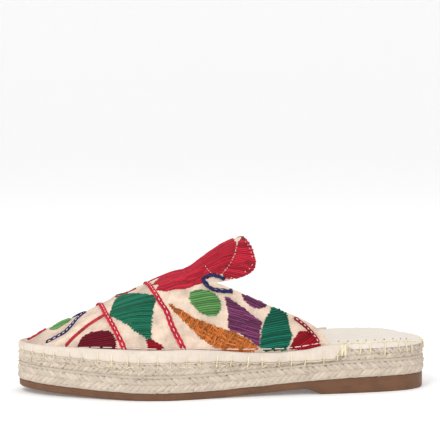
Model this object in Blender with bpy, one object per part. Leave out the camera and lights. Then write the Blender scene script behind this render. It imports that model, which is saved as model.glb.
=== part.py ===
"""Left espadrille mule: braided jute platform, rubber outsole, hollow canvas vamp with a standing tab.

Metres, +Z up. The heel points to +X and the toe to -X. -Y is the outer (little toe) side, +Y the inner side.
The shoe stands on z = 0. A station is a share of the length, 0 at the back of the heel and 1 at the toe tip.
"""
import bpy
import bmesh
from math import acos, cos, hypot, pi, sin
from mathutils import Vector

MM = 0.001

# Platform
LENGTH = 256.0 * MM
BALL_HALF = 44.5 * MM
TOE_SPRING = 3.6 * MM
SPRING_START = 0.71
SPRING_POWER = 1.6
HEEL_LIFT = 5.4 * MM
GAP = 0.3 * MM

# Outsole
OUTSOLE_THICK = 4.6 * MM
OUTSOLE_INSET = 1.0 * MM
OUTSOLE_BEVEL = 0.8 * MM
HEEL_TOP_LENGTH = 81.0 * MM
HEEL_FOOT_LENGTH = 71.0 * MM
OUTSOLE_STEPS = 46

# Braided courses
LOWER_THICK = 10.2 * MM
UPPER_THICK = 8.2 * MM
BRAID_PITCH = 4.5 * MM
STRAND_DEPTH = 0.9 * MM
CREASE_DEPTH = 0.9 * MM
COURSE_SHOULDER = 1.8 * MM
SHOULDER_SHARE = 0.22
UPPER_DRAWN_IN = 0.8 * MM

# Insole
INSOLE_THICK = 3.6 * MM
INSOLE_ROLL = 4.5 * MM
INSOLE_CROWN = 0.5 * MM
INSOLE_CROWN_INSET = 8.0 * MM
INSOLE_HEEL_INSET = 1.0 * MM
INSOLE_TOE_SETBACK = 6.0 * MM
INSOLE_TOE_START = 0.85
INSOLE_STEP_BACK = 5.0 * MM
INSOLE_STEP_FRONT = 1.0 * MM
INSOLE_STEPS = 40

# Foxing band
BAND_WALL = 1.4 * MM
BAND_RISE = 8.2 * MM
BAND_DROP = 6.0 * MM
BAND_FULLNESS = 0.4 * MM
BAND_CLEARANCE = 0.42 * MM
BAND_END = 57.0 * MM
BAND_STEPS = 44

# Upper
UPPER_WALL = 1.8 * MM
ROOF_WALL = 2.0 * MM
TAB_HEIGHT = 97.0 * MM
RIDGE_SHIFT = 4.0 * MM
INNER_SIDE_DROP = 6.0 * MM
TOPLINE_HALF_SPAN = 33.4 * MM
CUTTER_HALF_SPAN = 71.0 * MM
CUTTER_BACK = 0.15
CUTTER_TOP = 1.3
UPPER_BACK = 60.0 * MM
UPPER_STEPS = 34
ARCH_STEPS = 28
TOPLINE_STEPS = 4

# Steps round the plan for measuring along it, and the small turn that gives its direction.
PLAN_FINE = 720
PLAN_NUDGE = 0.004

# Plan of the platform: station, half width and sideways shift of the middle, both as shares of BALL_HALF.
PLAN_ROWS = (
    (0.000, 0.000, -0.040),
    (0.010, 0.345, -0.035),
    (0.030, 0.515, -0.025),
    (0.080, 0.685, -0.010),
    (0.160, 0.775, 0.000),
    (0.250, 0.812, 0.000),
    (0.320, 0.815, 0.000),
    (0.450, 0.840, -0.006),
    (0.580, 0.936, -0.015),
    (0.660, 0.999, 0.000),
    (0.722, 0.989, 0.045),
    (0.800, 0.885, 0.137),
    (0.870, 0.730, 0.213),
    (0.925, 0.573, 0.258),
    (0.965, 0.393, 0.281),
    (1.000, 0.000, 0.315),
)

# Pitch of the platform behind the ball: station and height as a share of HEEL_LIFT.
PITCH_ROWS = (
    (0.00, 1.00),
    (0.10, 0.99),
    (0.20, 0.94),
    (0.29, 0.76),
    (0.38, 0.49),
    (0.47, 0.21),
    (0.55, 0.045),
    (0.62, 0.00),
    (1.00, 0.00),
)

# Insole: station and thickness as a share of INSOLE_THICK. It thins towards the back and inside the vamp.
INSOLE_ROWS = (
    (0.00, 0.30),
    (0.03, 0.42),
    (0.06, 0.80),
    (0.10, 1.00),
    (0.34, 1.00),
    (0.54, 0.40),
    (1.00, 0.40),
)

# Edge of the insole from the bottom up: inset as a share of INSOLE_ROLL, height as a share of the thickness.
INSOLE_EDGE_ROWS = (
    (0.12, 0.00),
    (0.00, 0.22),
    (0.00, 0.55),
    (0.33, 0.86),
    (1.00, 1.00),
)

# Foxing band: station, drop below the top of the braid (share of BAND_DROP), rise above it (share of BAND_RISE).
BAND_ROWS = (
    (0.20, 1.00, 0.50),
    (0.27, 0.97, 0.42),
    (0.32, 0.92, 0.22),
    (0.37, 0.82, 0.20),
    (0.45, 0.48, 0.40),
    (0.54, 0.10, 0.80),
    (0.62, 0.00, 1.00),
    (0.74, 0.00, 1.00),
    (0.85, 0.00, 0.88),
    (0.93, 0.00, 0.72),
    (1.00, 0.00, 0.60),
)

# Top of the vamp along its ridge: station, height as a share of TAB_HEIGHT, fullness of the section
# (2 is an ellipse and more is boxier).
RIDGE_ROWS = (
    (0.200, 1.020, 2.0),
    (0.400, 1.005, 2.0),
    (0.444, 0.991, 2.0),
    (0.465, 0.971, 2.0),
    (0.499, 0.932, 2.0),
    (0.528, 0.883, 2.05),
    (0.551, 0.834, 2.1),
    (0.587, 0.778, 2.1),
    (0.636, 0.740, 2.15),
    (0.681, 0.688, 2.2),
    (0.755, 0.601, 2.2),
    (0.804, 0.535, 2.25),
    (0.866, 0.444, 2.35),
    (0.929, 0.367, 2.5),
    (0.970, 0.323, 2.6),
    (1.000, 0.310, 2.6),
)

# Top edge of the outer side, seen square from the side: station and height as a share of TAB_HEIGHT.
TOPLINE_ROWS = (
    (0.4500, 1.060),
    (0.4445, 1.005),
    (0.4330, 0.940),
    (0.4285, 0.880),
    (0.4315, 0.825),
    (0.4430, 0.791),
    (0.4630, 0.766),
    (0.4900, 0.746),
    (0.5160, 0.734),
    (0.5285, 0.727),
    (0.5160, 0.716),
    (0.4910, 0.686),
    (0.4500, 0.636),
    (0.4090, 0.584),
    (0.3280, 0.490),
    (0.2870, 0.420),
    (0.2630, 0.335),
    (0.2560, 0.200),
)


def clear_scene():
    for obj in list(bpy.data.objects):
        bpy.data.objects.remove(obj, do_unlink=True)


def monotone_curve(xs, ys):
    """Smooth curve through the rows of a table that never overshoots between two of them."""
    steps = [b - a for a, b in zip(xs, xs[1:])]
    slopes = [(b - a) / h for a, b, h in zip(ys, ys[1:], steps)]
    tangents = [slopes[0]]
    for before, after in zip(slopes, slopes[1:]):
        steady = before * after > 0
        tangents.append(2 * before * after / (before + after) if steady else 0.0)
    tangents.append(slopes[-1])

    def value(x):
        x = min(max(x, xs[0]), xs[-1])
        k = max(i for i in range(len(steps)) if xs[i] <= x)
        h = steps[k]
        u = (x - xs[k]) / h
        rise = ys[k] * (1 + 2 * u) * (1 - u) ** 2 + ys[k + 1] * u * u * (3 - 2 * u)
        lean = tangents[k] * u * (1 - u) ** 2 - tangents[k + 1] * u * u * (1 - u)
        return rise + h * lean

    return value


def column(rows, index, scale=1.0):
    """One column of a table as a curve over the station."""
    return monotone_curve([row[0] for row in rows], [row[index] * scale for row in rows])


def turn_of(station):
    """Angle that runs evenly round the plan: 0 at the back of the heel and pi at the toe tip."""
    return acos(1 - 2 * min(max(station, 0.0), 1.0))


def station_of(turn):
    return (1 - cos(turn)) / 2


PLAN_TURNS = [turn_of(row[0]) for row in PLAN_ROWS]
half_at_turn = monotone_curve(PLAN_TURNS, [row[1] * BALL_HALF for row in PLAN_ROWS])
middle_at_turn = monotone_curve(PLAN_TURNS, [row[2] * BALL_HALF for row in PLAN_ROWS])
pitch_at = column(PITCH_ROWS, 1, HEEL_LIFT)
insole_thick_at = column(INSOLE_ROWS, 1, INSOLE_THICK)
band_drop_at = column(BAND_ROWS, 1, BAND_DROP)
band_rise_at = column(BAND_ROWS, 2, BAND_RISE)
ridge_at = column(RIDGE_ROWS, 1, TAB_HEIGHT)
fullness_at = column(RIDGE_ROWS, 2)


def plan_point(turn, side, offset=0.0):
    """Point of the platform's outline, moved out along its normal. side is -1 outer and +1 inner."""
    low = max(turn - PLAN_NUDGE, 0.0)
    high = min(turn + PLAN_NUDGE, pi)

    def bare(angle):
        x = LENGTH / 2 - LENGTH * station_of(angle)
        return x, middle_at_turn(angle) + side * half_at_turn(angle)

    x, y = bare(turn)
    ax, ay = bare(low)
    bx, by = bare(high)
    if turn in (0.0, pi):
        return x + (offset if turn == 0.0 else -offset), y
    along = hypot(bx - ax, by - ay)
    return x + side * (by - ay) / along * offset, y - side * (bx - ax) / along * offset


def station_at(x):
    return (LENGTH / 2 - x) / LENGTH


def toe_rise(station):
    share = max(0.0, (station - SPRING_START) / (1 - SPRING_START))
    return TOE_SPRING * share ** SPRING_POWER


def tread_level(station):
    """Underside of the sole plate, without the heel block."""
    return pitch_at(station) + toe_rise(station)


def outsole_top(station):
    return tread_level(station) + OUTSOLE_THICK


def braid_split(station):
    return outsole_top(station) + LOWER_THICK


def braid_top(station):
    return braid_split(station) + UPPER_THICK


def floor_level(station):
    """Underside with the heel block: flat under the heel, a sloped breast, then the plate."""
    foot = HEEL_FOOT_LENGTH / LENGTH
    top = HEEL_TOP_LENGTH / LENGTH
    share = min(max((station - foot) / (top - foot), 0.0), 1.0)
    return tread_level(station) * share


def band_inner_offset(station):
    """The band stands on the braid in front and lies outside its top course where it hangs over it."""
    shoulder = SHOULDER_SHARE * UPPER_THICK
    outward = COURSE_SHOULDER * min(1.0, band_drop_at(station) / shoulder)
    return outward - COURSE_SHOULDER - UPPER_DRAWN_IN + BAND_CLEARANCE


def upper_outer_offset(station):
    return band_inner_offset(station) - GAP


def even_turns(side, count):
    """Angles that split one side of the outline into equal lengths."""
    angles = [pi * k / PLAN_FINE for k in range(PLAN_FINE + 1)]
    points = [plan_point(angle, side) for angle in angles]
    reach = [0.0]
    for (ax, ay), (bx, by) in zip(points, points[1:]):
        reach.append(reach[-1] + hypot(bx - ax, by - ay))
    turns = []
    k = 0
    for n in range(count + 1):
        goal = reach[-1] * n / count
        while k < PLAN_FINE - 1 and reach[k + 1] < goal:
            k += 1
        share = (goal - reach[k]) / (reach[k + 1] - reach[k])
        turns.append(angles[k] + (angles[k + 1] - angles[k]) * min(share, 1.0))
    turns[0] = 0.0
    turns[-1] = pi
    return turns


def side_length(side):
    points = [plan_point(pi * k / PLAN_FINE, side) for k in range(PLAN_FINE + 1)]
    return sum(hypot(b[0] - a[0], b[1] - a[1]) for a, b in zip(points, points[1:]))


def ring(outer_turns, inner_turns, offset_at, level_at):
    """Closed ring of points: outer side from heel to toe, then inner side back to the heel."""
    places = [(turn, -1) for turn in outer_turns]
    places += [(turn, 1) for turn in reversed(inner_turns[1:-1])]
    points = []
    for k, (turn, side) in enumerate(places):
        x, y = plan_point(turn, side, offset_at(station_of(turn), k))
        points.append(Vector((x, y, level_at(station_at(x)))))
    return points


def new_object(name, bm, collection):
    bmesh.ops.recalc_face_normals(bm, faces=bm.faces)
    mesh = bpy.data.meshes.new(name)
    bm.to_mesh(mesh)
    bm.free()
    obj = bpy.data.objects.new(name, mesh)
    collection.objects.link(obj)
    return obj


def round_off(obj, sharp_angle=40.0):
    obj.data.shade_smooth()
    obj.data.set_sharp_from_angle(angle=sharp_angle * pi / 180)


def solid_from_rings(name, rings, collection, slants=None):
    """Closed solid: walls between rings, and both ends closed by strips from one side to the other.

    slants turns the two triangles of each wall panel, so that a rib can run aslant across a band of panels.
    """
    bm = bmesh.new()
    loops = [[bm.verts.new(point) for point in points] for points in rings]
    count = len(rings[0])
    for band, (low, high) in enumerate(zip(loops, loops[1:])):
        slant = slants[band] if slants else 0
        for k in range(count):
            n = (k + 1) % count
            if slant == 0:
                bm.faces.new((low[k], low[n], high[n], high[k]))
            elif slant > 0:
                bm.faces.new((low[k], low[n], high[n]))
                bm.faces.new((low[k], high[n], high[k]))
            else:
                bm.faces.new((low[k], low[n], high[k]))
                bm.faces.new((low[n], high[n], high[k]))
    half = count // 2
    for loop in (loops[0], loops[-1]):
        for k in range(half):
            corners = [loop[k], loop[k + 1], loop[(count - k - 1) % count], loop[(count - k) % count]]
            distinct = list(dict.fromkeys(corners))
            bm.faces.new(distinct)
    return new_object(name, bm, collection)


def build_outsole(collection):
    """Sole plate with the low heel block moulded under its rear end."""
    foot = turn_of(HEEL_FOOT_LENGTH / LENGTH)
    top = turn_of(HEEL_TOP_LENGTH / LENGTH)
    even = [pi * k / OUTSOLE_STEPS for k in range(OUTSOLE_STEPS + 1)]
    spare = pi / OUTSOLE_STEPS / 2
    kept = [t for t in even if abs(t - foot) > spare and abs(t - top) > spare]
    turns = sorted(kept + [foot, top])

    def edge(inset):
        return lambda station, k: -inset

    rings = [
        ring(turns, turns, edge(OUTSOLE_INSET + OUTSOLE_BEVEL), floor_level),
        ring(turns, turns, edge(OUTSOLE_INSET), lambda s: floor_level(s) + OUTSOLE_BEVEL),
        ring(turns, turns, edge(OUTSOLE_INSET), lambda s: outsole_top(s) - OUTSOLE_BEVEL),
        ring(turns, turns, edge(OUTSOLE_INSET + OUTSOLE_BEVEL / 2), outsole_top),
    ]
    obj = solid_from_rings("outsole", rings, collection)
    round_off(obj, 30.0)
    return obj


def build_course(name, base_at, thick, drawn_in, collection):
    """Braided course: two rows of aslant strands that meet in a crease half way up its side."""
    strands = round(side_length(-1) / BRAID_PITCH)
    outer = even_turns(-1, 2 * strands)
    inner = even_turns(1, 2 * strands)

    def strand(rest, shift):
        return lambda station, k: rest - drawn_in - STRAND_DEPTH * ((k + shift) % 2)

    def shoulder(station, k):
        return -drawn_in - COURSE_SHOULDER

    def height(share):
        rise = GAP / 2 + share * (thick - GAP)
        return lambda station: base_at(station) + rise

    rings = [
        ring(outer, inner, shoulder, height(0.0)),
        ring(outer, inner, strand(0.0, 0), height(SHOULDER_SHARE)),
        ring(outer, inner, strand(-CREASE_DEPTH, 1), height(0.5)),
        ring(outer, inner, strand(0.0, 0), height(1 - SHOULDER_SHARE)),
        ring(outer, inner, shoulder, height(1.0)),
    ]
    obj = solid_from_rings(name, rings, collection, slants=(0, 1, -1, 0))
    round_off(obj, 60.0)
    return obj


def insole_step_stations():
    """Where the insole's edge steps in, just behind the ends of the band."""
    return (BAND_END - INSOLE_STEP_BACK) / LENGTH, (BAND_END - INSOLE_STEP_FRONT) / LENGTH


def insole_offset(station):
    """Out to the platform's edge round the heel, inside the upper's wall in front of it."""
    covered = upper_outer_offset(station) - UPPER_WALL - GAP
    covered -= INSOLE_TOE_SETBACK * max(0.0, (station - INSOLE_TOE_START) / (1 - INSOLE_TOE_START))
    back, front = insole_step_stations()
    share = min(max((station - back) / (front - back), 0.0), 1.0)
    return -INSOLE_HEEL_INSET + (covered + INSOLE_HEEL_INSET) * share


def build_insole(collection):
    even = [pi * k / INSOLE_STEPS for k in range(INSOLE_STEPS + 1)]
    turns = sorted(even + [turn_of(station) for station in insole_step_stations()])

    def edge(inset):
        return lambda station, k: insole_offset(station) - inset

    def height(share, extra=0.0):
        return lambda s: braid_top(s) + GAP / 2 + share * (insole_thick_at(s) - GAP / 2) + extra

    rings = []
    for inset, share in INSOLE_EDGE_ROWS:
        rings.append(ring(turns, turns, edge(inset * INSOLE_ROLL), height(share)))
    rings.append(ring(turns, turns, edge(INSOLE_ROLL + INSOLE_CROWN_INSET), height(1.0, INSOLE_CROWN)))
    obj = solid_from_rings("insole", rings, collection)
    round_off(obj, 50.0)
    return obj


def build_band(collection):
    """Strip from the rear outer end round the toe to the rear inner end."""
    start = turn_of(BAND_END / LENGTH)
    steps = [start + (pi - start) * k / BAND_STEPS for k in range(BAND_STEPS + 1)]
    places = [(turn, -1) for turn in steps] + [(turn, 1) for turn in reversed(steps[:-1])]
    bm = bmesh.new()
    sections = []
    for turn, side in places:
        station = station_of(turn)
        inner = band_inner_offset(station)
        outer = inner + BAND_WALL
        low = braid_top(station) - band_drop_at(station) + GAP / 2
        high = braid_top(station) + band_rise_at(station)
        corners = (
            (inner, low),
            (outer, low),
            (outer + BAND_FULLNESS, (low + high) / 2),
            (outer - BAND_FULLNESS / 2, high),
            (inner, high),
        )
        section = []
        for offset, level in corners:
            x, y = plan_point(turn, side, offset)
            section.append(bm.verts.new((x, y, level)))
        sections.append(section)
    for a, b in zip(sections, sections[1:]):
        for k in range(len(a)):
            n = (k + 1) % len(a)
            bm.faces.new((a[k], b[k], b[n], a[n]))
    bm.faces.new(sections[0])
    bm.faces.new(reversed(sections[-1]))
    obj = new_object("foxing_band", bm, collection)
    round_off(obj, 35.0)
    return obj


def arch(turn, inset):
    """Points of one section of the upper, from the outer bottom edge over the ridge to the inner one."""
    station = station_of(turn)
    offset = upper_outer_offset(station) - inset
    ax, ay = plan_point(turn, -1, offset)
    bx, by = plan_point(turn, 1, offset)
    middle_x = (ax + bx) / 2
    middle_y = (ay + by) / 2
    place = station_at(middle_x)
    base = braid_top(place) + GAP
    tall = ridge_at(place) - base - inset / UPPER_WALL * ROOF_WALL
    power = 2 / fullness_at(place)
    lean = RIDGE_SHIFT * min(1.0, (by - ay) / BALL_HALF)
    points = []
    for k in range(ARCH_STEPS + 1):
        angle = pi * k / ARCH_STEPS
        across = -abs(cos(angle)) ** power if 2 * k < ARCH_STEPS else abs(cos(angle)) ** power
        if 2 * k == ARCH_STEPS:
            across = 0.0
        up = sin(angle) ** power if 0 < k < ARCH_STEPS else 0.0
        x = middle_x + (bx - ax) / 2 * across
        y = middle_y + (by - ay) / 2 * across + lean * up * up
        points.append(Vector((x, y, base + tall * up)))
    return points


def build_vamp_shell(collection):
    """Hollow shell of the last's form, still closed above: the top edge is cut from it."""
    start = turn_of(UPPER_BACK / LENGTH)
    turns = [start + (pi - start) * k / UPPER_STEPS for k in range(UPPER_STEPS + 1)]
    bm = bmesh.new()
    skins = []
    for inset in (0.0, UPPER_WALL):
        skins.append([[bm.verts.new(point) for point in arch(turn, inset)] for turn in turns])
    outside, inside = skins
    for skin in skins:
        for a, b in zip(skin, skin[1:]):
            for k in range(ARCH_STEPS):
                bm.faces.new((a[k], b[k], b[k + 1], a[k + 1]))
    for edge in (0, ARCH_STEPS):
        for k in range(UPPER_STEPS):
            bm.faces.new((outside[k][edge], outside[k + 1][edge], inside[k + 1][edge], inside[k][edge]))
    for k in range(ARCH_STEPS):
        bm.faces.new((outside[0][k], outside[0][k + 1], inside[0][k + 1], inside[0][k]))
    bmesh.ops.remove_doubles(bm, verts=bm.verts, dist=0.00001)
    bmesh.ops.dissolve_degenerate(bm, edges=bm.edges, dist=0.00001)
    return new_object("upper", bm, collection)


def topline_points():
    """Smooth curve through TOPLINE_ROWS, as x and z at the outer side."""
    rows = [(LENGTH / 2 - station * LENGTH, share * TAB_HEIGHT) for station, share in TOPLINE_ROWS]
    points = []
    for k in range(len(rows) - 1):
        before = rows[max(k - 1, 0)]
        after = rows[min(k + 2, len(rows) - 1)]
        for n in range(TOPLINE_STEPS):
            u = n / TOPLINE_STEPS
            point = []
            for a, b, c, d in zip(before, rows[k], rows[k + 1], after):
                bend = (2 * a - 5 * b + 4 * c - d) * u + (3 * b - a - 3 * c + d) * u * u
                point.append(b + ((c - a) + bend) * u / 2)
            points.append(tuple(point))
    points.append(rows[-1])
    return points


def build_topline_cutter(collection):
    """Prism across the shoe that takes away everything above and behind the top edge."""
    tilt = INNER_SIDE_DROP / (2 * TOPLINE_HALF_SPAN)
    edge = topline_points()
    back = LENGTH / 2 - CUTTER_BACK * LENGTH
    above = CUTTER_TOP * TAB_HEIGHT
    profile = edge + [(back, edge[-1][1]), (back, above), (edge[0][0], above)]
    bm = bmesh.new()
    sides = []
    for y in (-CUTTER_HALF_SPAN, CUTTER_HALF_SPAN):
        drop = tilt * (y + TOPLINE_HALF_SPAN)
        sides.append([bm.verts.new((x, y, z - drop)) for x, z in profile])
    bm.faces.new(sides[0])
    bm.faces.new(reversed(sides[1]))
    count = len(profile)
    for k in range(count):
        n = (k + 1) % count
        bm.faces.new((sides[0][k], sides[1][k], sides[1][n], sides[0][n]))
    cutter = new_object("topline_cutter", bm, collection)
    cutter.display_type = "WIRE"
    cutter.hide_render = True
    return cutter


def build_upper(collection, cutters):
    upper = build_vamp_shell(collection)
    cut = upper.modifiers.new("topline", "BOOLEAN")
    cut.operation = "DIFFERENCE"
    cut.solver = "EXACT"
    cut.object = build_topline_cutter(cutters)
    upper.data.shade_smooth()
    return upper


def linear(channel):
    share = channel / 255
    return share / 12.92 if share <= 0.04045 else ((share + 0.055) / 1.055) ** 2.4


def finish(obj, name, red, green, blue, roughness):
    """Own material of a part, its colour given in screen values."""
    material = bpy.data.materials.new(name)
    material.use_nodes = True
    shader = material.node_tree.nodes["Principled BSDF"]
    shader.inputs["Base Color"].default_value = (linear(red), linear(green), linear(blue), 1.0)
    shader.inputs["Roughness"].default_value = roughness
    shader.inputs["Metallic"].default_value = 0.0
    obj.data.materials.append(material)


def main():
    clear_scene()
    parts = bpy.data.collections.new("espadrille_mule")
    cutters = bpy.data.collections.new("cutters")
    for collection in (parts, cutters):
        bpy.context.scene.collection.children.link(collection)
    outsole = build_outsole(parts)
    lower = build_course("jute_lower", outsole_top, LOWER_THICK, 0.0, parts)
    upper_course = build_course("jute_upper", braid_split, UPPER_THICK, UPPER_DRAWN_IN, parts)
    insole = build_insole(parts)
    band = build_band(parts)
    upper = build_upper(parts, cutters)
    finish(outsole, "brown_rubber", 129, 94, 71, 0.55)
    finish(lower, "jute_braid", 215, 200, 182, 0.95)
    finish(upper_course, "jute_braid_upper", 209, 193, 174, 0.95)
    finish(insole, "cream_sock", 237, 227, 217, 0.8)
    finish(band, "cream_canvas", 236, 225, 212, 0.85)
    finish(upper, "embroidered_canvas", 188, 53, 66, 0.85)


main()
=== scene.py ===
# %% [markdown]
# # A left espadrille mule
# The shoe is a backless slip-on: an embroidered canvas vamp on a platform of braided jute, with a rubber
# outsole. Its solid model was made first. It is loaded here as a fixed frame, and each cell dresses one
# piece of it. Working around fixed solids keeps every size true, so the cells below only have to think
# about looks.

# %% Load the solid model
import math
import random

import bmesh
import bpy
from mathutils import Matrix, Vector
from mathutils.bvhtree import BVHTree


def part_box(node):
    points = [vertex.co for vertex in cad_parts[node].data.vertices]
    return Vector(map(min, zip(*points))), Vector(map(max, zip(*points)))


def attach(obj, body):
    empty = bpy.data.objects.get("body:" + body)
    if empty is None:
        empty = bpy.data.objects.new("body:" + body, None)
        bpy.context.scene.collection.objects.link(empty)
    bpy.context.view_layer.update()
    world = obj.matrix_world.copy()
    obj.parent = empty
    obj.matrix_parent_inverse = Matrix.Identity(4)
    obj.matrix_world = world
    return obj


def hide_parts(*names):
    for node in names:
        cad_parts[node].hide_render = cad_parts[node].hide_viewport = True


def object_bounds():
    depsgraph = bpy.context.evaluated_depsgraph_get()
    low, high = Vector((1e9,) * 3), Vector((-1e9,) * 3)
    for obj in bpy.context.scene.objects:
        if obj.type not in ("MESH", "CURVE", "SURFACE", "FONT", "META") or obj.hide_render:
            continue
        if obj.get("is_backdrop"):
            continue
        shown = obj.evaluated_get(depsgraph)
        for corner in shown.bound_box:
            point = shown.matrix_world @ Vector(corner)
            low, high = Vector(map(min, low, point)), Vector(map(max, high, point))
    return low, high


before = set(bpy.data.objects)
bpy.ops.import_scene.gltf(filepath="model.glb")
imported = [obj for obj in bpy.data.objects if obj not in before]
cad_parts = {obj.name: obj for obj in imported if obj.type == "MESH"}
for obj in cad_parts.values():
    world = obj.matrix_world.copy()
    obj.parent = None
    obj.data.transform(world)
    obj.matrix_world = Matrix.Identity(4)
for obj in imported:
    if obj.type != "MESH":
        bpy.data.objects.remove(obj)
cad_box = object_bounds()
scene = bpy.context.scene
dice = random.Random(7)
MM = 0.001
print("solid pieces:", sorted(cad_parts))

# %% [markdown]
# ## Camera
# The photograph was taken with a long lens from the outer side, a little above the sole and a little ahead
# of the shoe. A camera can be aimed by its angles: how far it is turned round the shoe, how high it stands,
# and how far it leans down. A long lens far away keeps the sole's lines nearly parallel, as they are in the
# photograph.

# %% Place the camera
CAMERA_DISTANCE = 1500 * MM
CAMERA_TURN = math.radians(8.5)
CAMERA_HEIGHT_ANGLE = math.radians(9.4)
CAMERA_LEAN = math.radians(5.35)
CAMERA_ROLL = math.radians(0.25)
CAMERA_LENS = 194.0
CAMERA_SHIFT = -0.0023
camera_data = bpy.data.cameras.new("camera")
camera_data.sensor_width = 36
camera_data.lens = CAMERA_LENS
camera_data.shift_x = CAMERA_SHIFT
camera_data.clip_end = 100
camera = bpy.data.objects.new("camera", camera_data)
scene.collection.objects.link(camera)
reach = CAMERA_DISTANCE * math.cos(CAMERA_HEIGHT_ANGLE)
camera.location = (-reach * math.sin(CAMERA_TURN), -reach * math.cos(CAMERA_TURN),
                   CAMERA_DISTANCE * math.sin(CAMERA_HEIGHT_ANGLE))
camera.rotation_euler = (math.pi / 2 - CAMERA_LEAN, CAMERA_ROLL, -CAMERA_TURN)
scene.camera = camera
print("camera at", [round(v, 3) for v in camera.location])

# %% [markdown]
# ## Light and floor
# The shoe stands on plain white paper, lit softly from all sides, with one broad light from the front left
# and a weaker one from above. The paper is a wide shallow bowl: its rim curves up all the way round, so no
# sharp horizon line shows behind the shoe. One profile line, spun once round the middle, makes it. A white
# world does most of the lighting, which is the simplest way to come close to the shadowless look of a shop
# photograph.

# %% Build the paper bowl and the lights
BOWL_FLAT = 2.2
BOWL_RISE = 1.2
BOWL_ARC_STEPS = 8
BOWL_STEPS = 48
PAPER_GLOW = 0.16
WORLD_LIGHT = 0.72


def mesh_of(bm, name, *materials):
    """Smooth mesh made from a bmesh, which is freed."""
    mesh = bpy.data.meshes.new(name)
    bm.to_mesh(mesh)
    bm.free()
    for material in materials:
        mesh.materials.append(material)
    mesh.shade_smooth()
    return mesh


bm = bmesh.new()
profile = [bm.verts.new((0, 0, 0)), bm.verts.new((BOWL_FLAT, 0, 0))]
for k in range(1, BOWL_ARC_STEPS + 1):
    angle = math.pi / 2 * k / BOWL_ARC_STEPS
    out, up = BOWL_RISE * math.sin(angle), BOWL_RISE * (1 - math.cos(angle))
    profile.append(bm.verts.new((BOWL_FLAT + out, 0, up)))
lines = [bm.edges.new(pair) for pair in zip(profile, profile[1:])]
bmesh.ops.spin(bm, geom=profile + lines, cent=(0, 0, 0), axis=(0, 0, 1), dvec=(0, 0, 0),
               angle=2 * math.pi, steps=BOWL_STEPS, use_merge=True)
bmesh.ops.remove_doubles(bm, verts=bm.verts, dist=0.1 * MM)
bmesh.ops.recalc_face_normals(bm, faces=bm.faces)
sweep_material = bpy.data.materials.new("white_paper")
sweep_material.use_nodes = True
paper = sweep_material.node_tree.nodes["Principled BSDF"]
paper.inputs["Base Color"].default_value = (0.95, 0.95, 0.95, 1)
paper.inputs["Roughness"].default_value = 0.9
paper.inputs["Emission Color"].default_value = (1, 1, 1, 1)
paper.inputs["Emission Strength"].default_value = PAPER_GLOW
sweep = bpy.data.objects.new("sweep", mesh_of(bm, "sweep", sweep_material))
scene.collection.objects.link(sweep)
sweep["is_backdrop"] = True

world = bpy.data.worlds.new("studio")
world.use_nodes = True
background = world.node_tree.nodes["Background"]
background.inputs["Color"].default_value = (1, 1, 1, 1)
background.inputs["Strength"].default_value = WORLD_LIGHT
scene.world = world
scene.view_settings.view_transform = "Standard"


def area_light(name, place, size, power):
    """Square soft light aimed at the shoe."""
    data = bpy.data.lights.new(name, "AREA")
    data.size = size
    data.energy = power
    lamp = bpy.data.objects.new(name, data)
    lamp.location = place
    lamp.rotation_euler = Vector(place).to_track_quat("Z", "Y").to_euler()
    scene.collection.objects.link(lamp)


area_light("key_light", (-0.8, -1.2, 1.4), 0.7, 11)
area_light("top_light", (0.3, 0.2, 1.6), 1.0, 4)
print("paper bowl corners:", len(sweep.data.vertices))

# %% [markdown]
# ## The platform's outline
# Stitches, braid and band all run round the platform, so they need one curve to follow. The outline is the
# one that the solids were made from: half widths and sideways shifts at stations from heel (0) to toe (1).
# A table with a smooth curve through it is easier to correct than a drawn path, and any distance out from
# it is easy to reach.

# %% Outline and levels of the platform
LENGTH = 256 * MM
BALL_HALF = 44.5 * MM
HEEL_LIFT = 5.4 * MM
TOE_SPRING = 3.6 * MM
SPRING_START = 0.71
SPRING_POWER = 1.6
OUTSOLE_THICK = 4.6 * MM
LOWER_THICK = 10.2 * MM
UPPER_THICK = 8.2 * MM
PLAN_ROWS = (
    (0.000, 0.000, -0.040), (0.010, 0.345, -0.035), (0.030, 0.515, -0.025), (0.080, 0.685, -0.010),
    (0.160, 0.775, 0.000), (0.250, 0.812, 0.000), (0.320, 0.815, 0.000), (0.450, 0.840, -0.006),
    (0.580, 0.936, -0.015), (0.660, 0.999, 0.000), (0.722, 0.989, 0.045), (0.800, 0.885, 0.137),
    (0.870, 0.730, 0.213), (0.925, 0.573, 0.258), (0.965, 0.393, 0.281), (1.000, 0.000, 0.315),
)
PITCH_ROWS = (
    (0.00, 1.00), (0.10, 0.99), (0.20, 0.94), (0.29, 0.76), (0.38, 0.49), (0.47, 0.21), (0.55, 0.045),
    (0.62, 0.00), (1.00, 0.00),
)


def smooth_curve(xs, ys):
    """Curve through the rows of a table that never overshoots between two of them."""
    steps = [b - a for a, b in zip(xs, xs[1:])]
    slopes = [(b - a) / h for a, b, h in zip(ys, ys[1:], steps)]
    leans = [slopes[0]]
    for before, after in zip(slopes, slopes[1:]):
        leans.append(2 * before * after / (before + after) if before * after > 0 else 0.0)
    leans.append(slopes[-1])

    def value(x):
        x = min(max(x, xs[0]), xs[-1])
        k = max(i for i in range(len(steps)) if xs[i] <= x)
        u = (x - xs[k]) / steps[k]
        rise = ys[k] * (1 + 2 * u) * (1 - u) ** 2 + ys[k + 1] * u * u * (3 - 2 * u)
        return rise + steps[k] * (leans[k] * u * (1 - u) ** 2 - leans[k + 1] * u * u * (1 - u))

    return value


def table_curve(rows, column, scale=1.0):
    return smooth_curve([row[0] for row in rows], [row[column] * scale for row in rows])


def turn_of(station):
    """Angle round the outline: 0 at the back of the heel, pi at the toe."""
    return math.acos(1 - 2 * min(max(station, 0.0), 1.0))


def station_of(turn):
    return (1 - math.cos(turn)) / 2


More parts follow.
